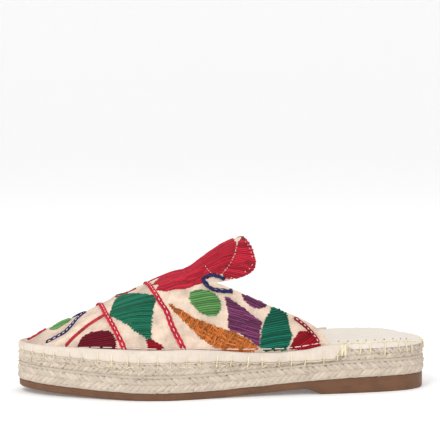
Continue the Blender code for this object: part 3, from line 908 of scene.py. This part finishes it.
def middle_spot(x):
    return Vector((x, middle_y(-x / MM), MIDDLE_HEIGHT))


def turn_at(place):
    spot = place - middle_spot(place.x)
    return math.degrees(math.atan2(spot.z, -spot.y)), math.hypot(spot.y, spot.z)


def crease_depth(place):
    turn, radius = turn_at(place)
    depth = 0.0
    for x, at, half_length, half_width, lean, deep in CREASES:
        across = (place.x / MM - x, math.radians(turn - at) * radius / MM)
        c, s = math.cos(math.radians(lean)), math.sin(math.radians(lean))
        along, beside = across[0] * c + across[1] * s, -across[0] * s + across[1] * c
        if abs(along) < half_length:
            fade = (1 - (along / half_length) ** 2) ** 2
            depth += deep * fade * (math.exp(-(beside / half_width) ** 2)
                                    - 0.5 * math.exp(-((abs(beside) - 2 * half_width) / half_width) ** 2))
    return depth * MM


bm = bmesh.new()
bm.from_mesh(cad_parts["upper"].data)
bmesh.ops.remove_doubles(bm, verts=bm.verts, dist=0.01 * MM)
bmesh.ops.subdivide_edges(bm, edges=bm.edges, cuts=2, use_grid_fill=True)
bm.normal_update()
layer = bm.verts.layers.float_vector.new("cloth")
for vert in bm.verts:
    turn, radius = turn_at(vert.co)
    vert[layer] = (vert.co.x / MM, math.radians(turn) * 36.0, 0.0)
pressed = {}
for vert in bm.verts:
    outward = (vert.co - middle_spot(vert.co.x)).normalized()
    pressed[vert] = vert.co - outward * crease_depth(vert.co)
for vert, place in pressed.items():
    vert.co = place
for face in bm.faces:
    centre = face.calc_center_median()
    outward = (centre - middle_spot(centre.x)).normalized()
    face.material_index = 1 if face.normal.dot(outward) < -0.2 else 0
vamp_tree = BVHTree.FromBMesh(bm)
vamp = mesh_of(bm, "vamp_canvas", canvas_beige, lining_cotton)
vamp.set_sharp_from_angle(angle=math.radians(50))
finish_piece("vamp_canvas", vamp, "embroidered_canvas", "upper")
print("vamp_canvas", len(vamp.polygons), "faces")

# %% Landing points on the vamp
RAY_START = 120 * MM


def on_vamp(x, turn, lift=0.0):
    """Point on the canvas, or None beyond its edge. x is in mm, turn in degrees, lift in metres."""
    spot = middle_spot(x * MM)
    angle = math.radians(turn)
    outward = Vector((0, -math.cos(angle), math.sin(angle)))
    hit, normal = vamp_tree.ray_cast(spot + outward * RAY_START, -outward, RAY_START)[:2]
    if hit is None:
        return None
    if normal.dot(outward) < 0:
        normal = -normal
    if normal.dot(outward) < 0.2 and abs(normal.x) < 0.5:
        return None
    return hit + normal * lift


ridge_turn = table_curve(RIDGE_ROWS, 1)


def mirrored(outline):
    """The same line on the inner side, mirrored about the ridge."""
    return [(x, 2 * ridge_turn(x) - turn) for x, turn in outline]


print("ridge of the vamp at x 0:", [round(v / MM, 1) for v in on_vamp(0, ridge_turn(0))])

# %% [markdown]
# ## Satin stitch
# Each leaf, dot and petal is satin stitch: threads laid side by side from edge to edge until the shape is
# full. The outline is charted in x and turn, laid flat, and crossed by parallel lines. Where a line is
# inside, a thread is laid. It dips into the cloth at both ends and may bow a little. Every second thread is
# sunk and takes the darkest tone, which paints shade between the raised threads, so the raised ones can be
# told apart and no cloth shows between them. The raised ones overshoot the edge by a random bit, which
# gives the ragged edges of hand work. Real threads catch the light far better than a painted patch.

# %% Fill an outline with threads
# Lengths and lifts are in mm, and a tone runs from 0 for dark to 1 for light
OVERSHOOT = 1.0
SHORTEST = 1.2
POINT_EVERY = 3.0
END_LIFT = -0.35
END_LONG = 0.45
SUNK_LIFT = (-0.25, -0.1)
RAISED_LIFT = (0.0, 0.45)
RAISED_TONE = (0.2, 1)


def crossings(outline, level):
    """Where a closed outline crosses a level, in order."""
    cuts = []
    for (ax, ay), (bx, by) in zip(outline, outline[1:] + outline[:1]):
        if (ay > level) != (by > level):
            cuts.append(ax + (bx - ax) * (level - ay) / (by - ay))
    return sorted(cuts)


def satin(outline, lean=0.0, bow=0.0, pitch=0.9, wild=0.3, longest=40.0):
    """Threads that fill an outline of (x mm, turn) points. lean is in degrees; the other sizes are in mm."""
    mean_x = sum(p[0] for p in outline) / len(outline)
    mean_turn = sum(p[1] for p in outline) / len(outline)
    landed = [(place, x) for place, x in ((on_vamp(x, turn), x) for x, turn in outline) if place]
    if not landed:
        return []
    reach = max((place - middle_spot(x * MM)).length / MM for place, x in landed)
    per_degree = math.radians(reach)
    c, s = math.cos(math.radians(lean)), math.sin(math.radians(lean))
    flat = []
    for x, turn in outline:
        a, b = x - mean_x, (turn - mean_turn) * per_degree
        flat.append((a * c + b * s, -a * s + b * c))
    low, high = min(p[1] for p in flat), max(p[1] for p in flat)
    threads = []
    line, sunk_in_painted_shade = low + pitch * 0.3, False
    while line < high:
        cuts = crossings(flat, line)
        for left, right in zip(cuts[::2], cuts[1::2]):
            if not sunk_in_painted_shade:
                left, right = left - dice.uniform(0.0, OVERSHOOT), right + dice.uniform(0.0, OVERSHOOT)
            pieces = max(1, math.ceil((right - left) / longest))
            breaks = [left + (right - left) * (k + dice.uniform(-0.3, 0.3)) / pieces
                      for k in range(1, pieces)]
            marks = [left] + breaks + [right]
            bend = bow * (right - left) / 20
            for start, end in zip(marks, marks[1:]):
                if end - start < SHORTEST:
                    continue
                steps = max(2, math.ceil((end - start) / POINT_EVERY))
                tilt = dice.uniform(-wild, wild) * (0.4 if sunk_in_painted_shade else 1.0)
                lift = dice.uniform(*(SUNK_LIFT if sunk_in_painted_shade else RAISED_LIFT))
                # Sunk threads take tone 0, the darkest: painted shade between the raised threads
                tone = 0.0 if sunk_in_painted_shade else dice.uniform(*RAISED_TONE)
                start, end = start - 0.3 * (start > left), end + 0.3 * (end < right)
                near = END_LONG / (end - start)

                def cloth_spot(t):
                    a = start + (end - start) * t
                    b = line + bend * math.sin(math.pi * (a - left) / (right - left)) + tilt * (t - 0.5)
                    return mean_x + a * c - b * s, mean_turn + (a * s + b * c) / per_degree

                points = []
                last_t = None
                for t in [0.0, near] + [n / steps for n in range(1, steps)] + [1 - near, 1.0]:
                    at_end = t in (0.0, 1.0)
                    place = on_vamp(*cloth_spot(t), (END_LIFT if at_end else lift) * MM)
                    if place is None and points and last_t is not None:
                        inside, outside = last_t, t
                        for n in range(6):
                            middle = (inside + outside) / 2
                            if on_vamp(*cloth_spot(middle)) is None:
                                outside = middle
                            else:
                                inside = middle
                        points.append((on_vamp(*cloth_spot(inside), 0.0), 0.8))
                        last_t = None
                    elif place is not None:
                        points.append((place, 0.6 if at_end else dice.uniform(0.85, 1.1)))
                        last_t = t
                if len(points) > 1:
                    threads.append((points, False, tone))
        line += pitch / 2 * dice.uniform(0.85, 1.15)
        sunk_in_painted_shade = not sunk_in_painted_shade
    return threads


print("a square of 4 mm is crossed half way up at:", crossings([(0, 0), (4, 0), (4, 4), (0, 4)], 2))

# %% [markdown]
# The motifs are plain leaves, dots, domes and petals of traditional folk work. Most points of their outlines,
# and of the stitched lines further down, were picked by eye in the photograph, and a separate script turned
# them from pixels into x and turn on the solid vamp. Nearly half of all the points stand exactly as that
# conversion gave them. The inner side of the shoe can't be seen in the photograph, so it repeats most motifs
# in mirror image. Threads that the mirror would put off the cloth are left out.

# %% Chart of the satin motifs
# The contrast also sets how dark the sunk satin threads are: painted shade between the raised threads
THREADS = {  # colour, contrast between threads
    "scarlet": ((184, 32, 54), 0.45), "crimson": ((156, 12, 30), 0.4), "burgundy": ((116, 12, 36), 0.4),
    "pine": ((24, 106, 80), 0.6), "teal": ((16, 102, 80), 0.6), "leaf": ((98, 150, 86), 0.5),
    "orange": ((188, 106, 48), 0.6), "purple": ((120, 58, 98), 0.65), "navy": ((40, 40, 92), 0.5),
    "rose_red": ((198, 36, 58), 0.25), "brick": ((184, 48, 56), 0.3),
}
SLANTING_LEAF = (
    (-37.3, 49.9), (-31.6, 44.4), (-24.5, 38.0), (-18.8, 34.0), (-12.7, 30.4), (-7.1, 28.0), (-1.3, 25.5),
    (2.4, 23.2), (6.5, 20.4), (10.6, 17.4), (13.7, 14.1), (16.5, 9), (12.6, 7), (-2.2, 7), (-5.8, 9.2),
    (-12.7, 13.6), (-18.7, 19.7), (-24.9, 28.1), (-29.6, 35.2), (-34.1, 42.8))
MOTIFS = (  # thread, lean, bow, pitch, wild, longest stitch, repeated inside, outline as x mm and turn
    ("leaf", 2, 0.0, 1.4, 0.3, 40, False, (
        (-108.2, 88), (-105.8, 100), (-102.4, 112), (-98.4, 117), (-95.4, 115), (-94.6, 104), (-96.2, 92),
        (-100.2, 83.5), (-104.8, 81.5))),
    ("burgundy", 8, 0.3, 1.45, 0.4, 40, True, (
        (-92.8, 8), (-92.5, 17.2), (-91.0, 23.4), (-88.2, 28.8), (-84.4, 31.6), (-79.1, 31.4), (-75.0, 29.6),
        (-72.6, 26.6), (-71.1, 19.7), (-70.4, 8))),
    ("pine", -2, 0.9, 1.4, 0.4, 40, True, (
        (-72.4, 53.5), (-69.6, 68.2), (-66.5, 87.4), (-64.2, 93.0), (-61.8, 92.0), (-58.3, 85.1),
        (-54.3, 76.3), (-50.3, 69.8), (-46.2, 63.3), (-45.0, 59.2), (-46.0, 54.0), (-47.0, 49.6),
        (-48.4, 40.1), (-49.6, 29.2), (-50.0, 19.6), (-52.1, 19.5), (-56.0, 24.0), (-61.1, 30.9),
        (-65.5, 38.1), (-68.0, 42.5), (-71.5, 49.2))),
    ("crimson", 0, 0.0, 1.4, 0.3, 40, True, (
        (-52.1, 19.0), (-50.0, 19.6), (-47.3, 16.9), (-43.9, 14.1), (-40.5, 8), (-51.9, 8))),
    ("leaf", 2, 0.5, 1.45, 0.4, 40, True, (
        (-24.1, 55.7), (-22.9, 59.2), (-20.3, 60.4), (-15.2, 59.1), (-12.0, 57.3), (-8.8, 54.6),
        (-6.3, 50.3), (-6.1, 45.8), (-6.5, 41.7), (-8.7, 38.6), (-12.5, 37.9), (-17.0, 39.8), (-21.1, 44.7),
        (-23.8, 50.7))),
    ("orange", 62, 0.3, 1.17, 1.6, 9, True, SLANTING_LEAF),
    ("orange", -28, 0.0, 2.62, 1.8, 5, True, SLANTING_LEAF),
    ("purple", -20, 0.3, 1.35, 0.8, 12, True, (
        (-2.5, 52.9), (2.9, 48.1), (6.4, 45.2), (9.7, 42.3), (12.7, 38.9), (15.7, 35.6), (19.3, 33.0),
        (18.2, 29.9), (17.7, 24.8), (17.7, 18.7), (17.3, 11.8), (14.7, 13.5), (11.5, 17.8), (8.3, 21.4),
        (4.3, 24.1), (0.1, 25.9), (-1.6, 28.9), (-1.5, 34.9), (-1.3, 40.3), (-2.2, 47.0))),
    ("purple", -25, 0.0, 1.4, 0.3, 40, True, (
        (7.4, 52.6), (11.6, 51.4), (16.2, 49.3), (18.6, 48.4), (22.1, 46.2), (22.6, 44.0), (18.5, 42.7),
        (13.1, 44.2), (9.4, 48.0))),
    ("teal", 10, 0.6, 1.4, 0.4, 40, True, (
        (25.9, 43.8), (28.5, 43.0), (31.3, 41.5), (34.7, 39.0), (35.9, 34.0), (36.4, 27.7), (37.7, 21.0),
        (36.3, 13.9), (34.4, 7), (20.3, 6.5), (18.4, 13.1), (19.1, 20.4), (19.8, 27.9), (21.4, 34.1),
        (24.5, 39.5))),
    ("crimson", 35, 0.0, 1.4, 0.3, 40, True, (
        (36.3, 8), (39.3, 17.3), (42.8, 24.1), (46.0, 24.9), (49.2, 23.0), (52.4, 19.2), (55.0, 13.1),
        (57.1, 9), (45.8, 7))),
    ("scarlet", 1, 0.3, 1.35, 0.6, 11, True, (
        (-36.5, 95.5), (-40.6, 90.0), (-44.2, 84.0), (-40.0, 78.6), (-43.4, 70.2), (-37.9, 66.6),
        (-31.4, 64.2), (-23.6, 64.8), (-20.6, 65.9), (-15.4, 65.4), (-14.6, 69.4), (-11.4, 70.9),
        (-6.9, 69.4), (-3.8, 67.2), (-3.3, 68.2), (-0.5, 70.4), (2.3, 73.5), (5.8, 78.5), (6.8, 80.6),
        (7.9, 84.5), (7.2, 95), (-8, 95.5))),
    ("scarlet", -26, 0.3, 1.35, 0.5, 16, True, (
        (12.8, 89.5), (9.2, 84.5), (6.9, 80.3), (5.5, 77.0), (2.0, 72.4), (-0.6, 69.2), (-3.2, 66.8),
        (-0.8, 63.8), (5.7, 62.9), (11.6, 64.1), (16.0, 66.5), (17.8, 69.9), (17.7, 73.3), (17.0, 78.8),
        (14.8, 87.0))),
)
SATIN_RADIUS = 0.6 * MM
satin_threads = {}
for colour, lean, bow, pitch, wild, longest, repeated, outline in MOTIFS:
    laid = satin(outline, lean, bow, pitch, wild, longest)
    if repeated:
        laid += satin(mirrored(outline), -lean, -bow, pitch, wild, longest)
    satin_threads.setdefault(colour, []).extend(laid)
thread_materials = {}
for colour, (shade, contrast) in THREADS.items():
    thread_materials[colour] = yarn("thread_" + colour, shade, fibres=2.0, stretch=0.2, bump=0.12,
                                    contrast=contrast)
for colour, threads in satin_threads.items():
    thread_piece("satin_" + colour, threads, SATIN_RADIUS, thread_materials[colour], "embroidered_canvas")

# %% [markdown]
# ## Chain stitch and outlines
# The long coloured lines are chain stitch: one loop after another, each held by the next. A loop is a small
# closed thread in the shape of a long ring with a second thread inside, and on some lines a light dash lies
# on top. Walking a charted line by equal steps gives every loop its place and direction. Plain outlines,
# such as the scroll at the notch, are threads laid side by side.

# %% Walk a charted line
def walk(line, step):
    """Points (x, turn) at equal steps along a line on the cloth, in mm."""
    fine = []
    for (ax, at), (bx, bt) in zip(line, line[1:]):
        for n in range(24):
            u = n / 24
            fine.append((ax + (bx - ax) * u, at + (bt - at) * u))
    fine.append(line[-1])
    kept = [fine[0]]
    last = on_vamp(*fine[0])
    gone = 0.0
    for spot in fine[1:]:
        place = on_vamp(*spot)
        if place is None or last is None:
            last = place
            continue
        gone += (place - last).length / MM
        last = place
        if gone >= step:
            kept.append(spot)
            gone -= step
    return kept


def surface_frame(a, b):
    """Start, direction along the line and direction across it, on the cloth."""
    start, end = on_vamp(*a), on_vamp(*b)
    if start is None or end is None or (end - start).length < 0.2 * MM:
        return None
    along = (end - start).normalized()
    outward = ((start + end) / 2 - middle_spot((start.x + end.x) / 2)).normalized()
    across = along.cross(outward).normalized()
    return start, end, across, across.cross(along).normalized()


RING_SHARE = 1.55
FILL_SHARE = 1.3
LAID_STEP = 1.3
LAID_LIFT = 0.3


def chain(line, link, width):
    """Loops of a chain stitch with the thread that fills them, and the light dashes that lie on top."""
    loops, dashes = [], []
    spots = walk(line, link)
    for a, b in zip(spots, spots[1:]):
        found = surface_frame(a, b)
        if found is None:
            continue
        start, end, across, up = found
        middle, half = (start + end) / 2 + up * 0.3 * MM, (end - start) / 2
        ring = []
        for n in range(8):
            angle = 2 * math.pi * n / 8
            wide = math.copysign(abs(math.sin(angle)) ** 0.6, math.sin(angle))
            spot = middle + half * 1.1 * math.cos(angle) + across * (width / 2 - 0.75) * MM * wide
            ring.append((spot, RING_SHARE))
        loops.append((ring, True))
        loops.append(([(middle - half, FILL_SHARE), (middle + half, FILL_SHARE)], False))
        top = middle + up * 0.55 * MM
        dashes.append(([(top - half * 0.62 - up * 0.3 * MM, 0.6), (top - half * 0.3, 0.85),
                        (top + half * 0.3, 0.85), (top + half * 0.62 - up * 0.3 * MM, 0.6)], False))
    return loops, dashes


def laid_line(line, offsets):
    """Threads laid side by side along a line."""
    threads = []
    spots = walk(line, LAID_STEP)
    if len(spots) < 2:
        spots = [line[0], line[-1]]
    beyond = (2 * spots[-1][0] - spots[-2][0], 2 * spots[-1][1] - spots[-2][1])
    for offset in offsets:
        points = []
        for a, b in zip(spots, spots[1:] + [beyond]):
            found = surface_frame(a, b)
            if found is None:
                continue
            start, end, across, up = found
            points.append((start + across * (offset + dice.uniform(-0.35, 0.35)) * MM
                           + up * (LAID_LIFT + dice.uniform(-0.3, 0.35)) * MM, dice.uniform(0.7, 1.2)))
        if len(points) > 1:
            threads.append((points, False))
    return threads


def both_sides(line, repeated=True):
    return (line, mirrored(line)) if repeated else (line,)


print("places at 3 mm steps on a trial line:", len(walk(((-20, 60), (20, 60)), 3.0)))

# %% Chart of the chains and outlines
LINE_RADIUS = 0.48 * MM
CHAINS = (  # thread, light dashes, link mm, width mm, line
    ("rose_red", True, 4.1, 4.0, ((-75.4, 107), (-75.6, 82.5), (-74.7, 57.4), (-72.4, 39.8), (-70.7, 30.8),
                                  (-68.9, 22.7), (-67.2, 16.0), (-65.2, 6.0))),
    ("rose_red", True, 4.1, 4.0, ((-46.8, 98.2), (-45.7, 74.4), (-44.2, 63.3), (-42.5, 55.5), (-41.0, 49.6),
                                  (-38.8, 40.5), (-37.4, 31.8), (-35.6, 25.5), (-33.6, 20.1), (-31.6, 14.7),
                                  (-29.2, 6.5))),
    ("navy", True, 3.4, 2.9, ((-110.8, 31.0), (-105.3, 40.3), (-100.6, 49.7), (-95.0, 72.5), (-89.6, 95.0),
                              (-85.0, 110.5))),
    ("brick", False, 2.6, 2.6, ((-99.8, 17), (-95.4, 28.0), (-90.6, 37.4), (-85.8, 46.4), (-80.9, 51.2),
                                (-74.6, 57.0))),
    ("crimson", True, 3.0, 2.6, ((40.1, 35.4), (41.9, 33.6), (45.1, 30.4), (48.3, 26.6), (50.8, 22.2),
                                 (53.3, 17.6), (55.6, 11.0))),
)
OUTLINES = (  # thread, offsets of the threads in mm, repeated inside, line
    ("navy", (-1.45, -0.7, 0.1, 0.8, 1.45), True, (
        (-1.9, 63.6), (-3.9, 65.2), (-6.6, 67.0), (-9.2, 68.6), (-12.2, 69.4), (-14.2, 68.4), (-14.4, 65.0),
        (-12.3, 61.2), (-9.8, 58.2), (-4.9, 56.2), (-1.4, 55.7), (2.9, 54.9))),
    ("rose_red", (-1.9, -1.1, -0.3, 0.5, 1.2), False, (
        (-121.6, 90), (-117.6, 97), (-113.7, 101), (-109.6, 102))),
    ("rose_red", (-0.3, 0.4), False, ((-113.4, 104), (-114.6, 113))),
    ("crimson", (0.0,), False, ((-66.5, 97), (-61.7, 97), (-57.6, 96), (-53.6, 94.5))),
    ("pine", (-0.5, 0.5), False, ((12.6, 90.5), (13.4, 90.0))),
)
loops, lights = {}, []
for colour, lit, link, width, line in CHAINS:
    for drawn in both_sides(line):
        rings, dashes = chain(drawn, link, width)
        loops.setdefault(colour, []).extend(rings)
        if lit:
            lights += dashes
for colour, offsets, repeated, line in OUTLINES:
    for drawn in both_sides(line, repeated):
        loops.setdefault(colour, []).extend(laid_line(drawn, offsets))
for colour, threads in loops.items():
    thread_piece("line_" + colour, threads, LINE_RADIUS, thread_materials[colour], "embroidered_canvas")

# %% [markdown]
# ## Running stitches
# Light stitches run along the joint of vamp and band, along the edge of the tab, and down the veins of its
# petals. A running stitch is a row of short threads with a gap after each: the line is walked in small
# steps, and threads and gaps take turns.

# %% Running stitches on the vamp
RUNNING_STEP = 0.8
RUNNING_LIFT = 0.7 * MM
RUNNING_RADIUS = 0.36 * MM


def running(line, stitch, gap, share):
    """Short threads along a line. share is the part of the full radius."""
    threads = []
    spots = walk(line, RUNNING_STEP)
    period = stitch + gap
    points = []
    for k, spot in enumerate(spots):
        place = on_vamp(*spot, RUNNING_LIFT)
        if (k * RUNNING_STEP) % period < stitch and place is not None:
            points.append((place, share))
        elif points:
            if len(points) > 1:
                threads.append((points, False))
            points = []
    if len(points) > 1:
        threads.append((points, False))
    return threads


RUNNING = (  # stitch mm, gap mm, share of the radius, line
    (6.6, 1.2, 0.9, ((-92, 13.2), (-83.3, 13.0), (-67.6, 11.9), (-43.8, 10.7), (-19.0, 10.4), (6.1, 9.2),
                     (31.3, 8.7), (43.9, 10.4), (58.0, 13.8))),
    (1.5, 1.7, 0.6, ((13.8, 84.0), (14.8, 81.8), (15.9, 77.2), (16.3, 73.1), (16.1, 70.2), (14.8, 68.0),
                     (11.0, 66.0), (6.0, 64.4), (1.0, 63.4))),
    (1.5, 0.9, 0.6, ((9.6, 87.0), (8.6, 84.2), (7.4, 81.0), (6.3, 77.9), (2.8, 73.1), (0.2, 70.0),
                     (-2.6, 67.5))),
    (0.9, 1.5, 0.7, ((-12.0, 78.8), (-10.7, 74.3), (-9.4, 70.4))),
)
dashes = list(lights)
for stitch, gap, share, line in RUNNING:
    for drawn in both_sides(line):
        dashes += running(drawn, stitch, gap, share)
thread_piece("light_stitches", dashes, RUNNING_RADIUS, rose_thread, "embroidered_canvas")

# %% [markdown]
# ## Blanket stitches
# Cream thread sews the band and the insole to the braid with blanket stitches: a leg goes down over the
# edge and a bar runs along to the next leg. The legs follow a short table of offsets and heights, so they
# hug the band, step over its lower edge and end in the braid. Round the heel the bar is a row of short
# threads.

# %% Blanket stitches on the band
BAND_THREAD = 0.42 * MM
HEEL_THREAD = 0.48 * MM
legs = []
for stitch in band_stitches:
    lean = dice.uniform(-0.8, 0.8) * MM
    points = []
    low, high = band_levels(stitch)
    inner = band_inner(rim_station(stitch))
    top = low + (high - low) * 0.72
    tail = low - dice.uniform(2.6, 4.2) * MM
    for out, level, share in ((1.2 * MM, top, 0.5), (1.75 * MM, low + (high - low) * 0.5, 1.0),
                              (1.45 * MM, low + (high - low) * 0.2, 1.0), (1.2 * MM, low + 0.1 * MM, 1.0),
                              (0.5 * MM, low - 1.0 * MM, 1.0)):
        drift = lean * (top - level) / (top - tail)
        points.append((beside_rim(stitch + drift, inner + out, level), share))
    for inset, level in ((0.9, low - 2.0 * MM), (-1.6, tail)):
        points.append((beside_rim(stitch + lean, inset * MM - 0.8 * MM, level), 1.0))
    legs.append((points, False))
bars = []
for a, b in zip(band_stitches, band_stitches[1:]):
    points = []
    for n in range(5):
        distance = a + (b - a) * n / 4
        level = band_levels(distance)[0] - 0.1 * MM - 0.5 * MM * math.sin(math.pi * n / 4)
        points.append((beside_rim(distance, band_inner(rim_station(distance)) + 0.75 * MM, level), 0.65))
    bars.append((points, False))
thread_piece("band_stitches", legs + bars, BAND_THREAD, cream_thread, "cream_canvas")

# %% Blanket stitches and pricked holes round the heel
HEEL_STITCHES = (  # x mm, lean mm, length mm
    (74.0, 2.6, 8.5), (82.2, 1.2, 7.0), (88.0, 0.2, 6.5), (98.0, 0.8, 8.5), (106.4, -1.4, 7.5),
    (111.8, -0.6, 7.5), (116.1, 0.3, 8.0))
FAR_PITCH = 8.5 * MM
HOLE_PITCH = 6.0 * MM
HOLE_RADIUS = 0.7 * MM
HOLE_HALF = 0.5 * MM
HOLE_INSET = 4.3
HEEL_BARS = 60
heel_start = distance_at_x(70 * MM)
heel_legs = [(distance_at_x(x * MM), lean * MM, long * MM) for x, lean, long in HEEL_STITCHES]
far_count = round((heel_start - 6 * MM) / FAR_PITCH)
heel_legs += [(2 * MM, 0.5 * MM, 8 * MM), (8 * MM, -0.5 * MM, 8 * MM)]
heel_legs += [(RIM_LENGTH - 5 * MM - FAR_PITCH * k, dice.uniform(-1.5, 1.5) * MM, dice.uniform(6.5, 8.5) * MM)
              for k in range(far_count)]


def insole_side(distance, inset, height):
    return insole_skin(*rim_place(distance), inset, height)


stitches, holes = [], []
for distance, lean, long in heel_legs:
    points = [(insole_side(distance, 1.6, 0.92), 0.6), (insole_side(distance, 0.5, 0.9), 1.0),
              (insole_side(distance + lean * 0.3, -0.35, 0.4), 1.0)]
    for drift, out, drop in ((0.6, -0.2, 1.2 * MM), (1.0, 0.0, long - 3.6 * MM),
                             (1.0, -2.2, long - 3.0 * MM)):
        points.append((rim_spot(distance + lean * drift, out * MM, braid_top, -drop), 1.0))
    stitches.append((points, False))
for k in range(HEEL_BARS):
    share = k / HEEL_BARS
    spot = -heel_start + 2 * heel_start * share
    span = 2 * heel_start / HEEL_BARS * 0.82
    dip, rise = (dice.uniform(0.55, 0.8), 0.87) if spot > 0 else (0.0, 0.55)
    stitches.append(([(insole_side(spot, dip, rise - 0.03), 0.8),
                      (insole_side(spot + span / 2, dip - 0.1, rise), 1.0),
                      (insole_side(spot + span, dip, rise - 0.03), 0.8)], False))
spot = distance_at_x(116 * MM)
while spot < distance_at_x(69 * MM):
    holes.append(([(insole_side(spot - HOLE_HALF, HOLE_INSET, 1.04), 0.6),
                   (insole_side(spot, HOLE_INSET, 1.07), 1.0),
                   (insole_side(spot + HOLE_HALF, HOLE_INSET, 1.04), 0.6)], False))
    spot += HOLE_PITCH * dice.uniform(0.9, 1.1)
thread_piece("heel_stitches", stitches, HEEL_THREAD, cream_thread, "cream_sock")
hole_thread = yarn("pricked_thread", (206, 186, 152), contrast=0.2)
thread_piece("pricked_holes", holes, HOLE_RADIUS, hole_thread, "cream_sock")

# %% [markdown]
# The ends of the band are held by a tack, a small bundle of cream thread wound over the corner several
# times. Knots and slack loops of the same thread sit on the braid below the band here and there. Both are
# short threads. Their places were read from the photograph on the outer side and are repeated on the inner
# side. The knots have a little seeded disorder.

# %% Tacks at the band's ends, knots on the braid
TACK_TURNS = (  # start along the band mm, drift mm
    (-0.4, 0.3), (0.4, -0.2), (1.2, 0.4), (2.0, 0.0), (2.8, -0.5), (0.2, 3.6), (2.6, -3.4))
TACK_SECTION = (  # drop from the band's top mm, out mm, share of the drift
    (0.1, 0.6, 0.0), (1.2, 1.75, 0.2), (3.6, 2.35, 0.5), (6.0, 2.2, 0.8), (7.6, 0.9, 1.0))
tacks = []
for end, way in ((band_first, 1), (band_last, -1)):
    low, high = band_levels(end + way * 3 * MM)
    inner = band_inner(rim_station(end))
    for start, drift in TACK_TURNS:
        points = []
        for drop, out, share in TACK_SECTION:
            spot = end + way * (start + drift * share) * MM
            points.append((beside_rim(spot, inner + out * MM, high - drop * MM), 1.0))
        tacks.append((points, False))
KNOTS = (  # x mm, drop below the band mm
    (-116, 2.6), (-76, 3.2), (-70, 5.4), (-64, 2.4), (-5, 2.6), (-30, 2.0), (30, 2.2), (49, 2.8))
for x, drop in KNOTS:
    for side in (-1, 1):
        distance = distance_at_x(x * MM, side)
        level = band_levels(distance)[0] - drop * MM
        points = []
        for n in range(7):
            spot = distance + (n * 0.9 - 2.7 + dice.uniform(-1.6, 1.6)) * MM
            height = level + dice.uniform(-1.1, 1.1) * MM
            points.append((beside_rim(spot, (-0.4 + 0.7 * math.sin(n * 2.1)) * MM, height), 0.75))
        tacks.append((points, False))
thread_piece("band_tacks", tacks, BAND_THREAD, cream_thread, "cream_canvas")

# %% Write the sizes and finish
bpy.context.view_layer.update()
for label, box in (("solid", cad_box), ("dressed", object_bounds())):
    print(label, [round((high - low) / MM, 1) for low, high in zip(*box)], "mm")
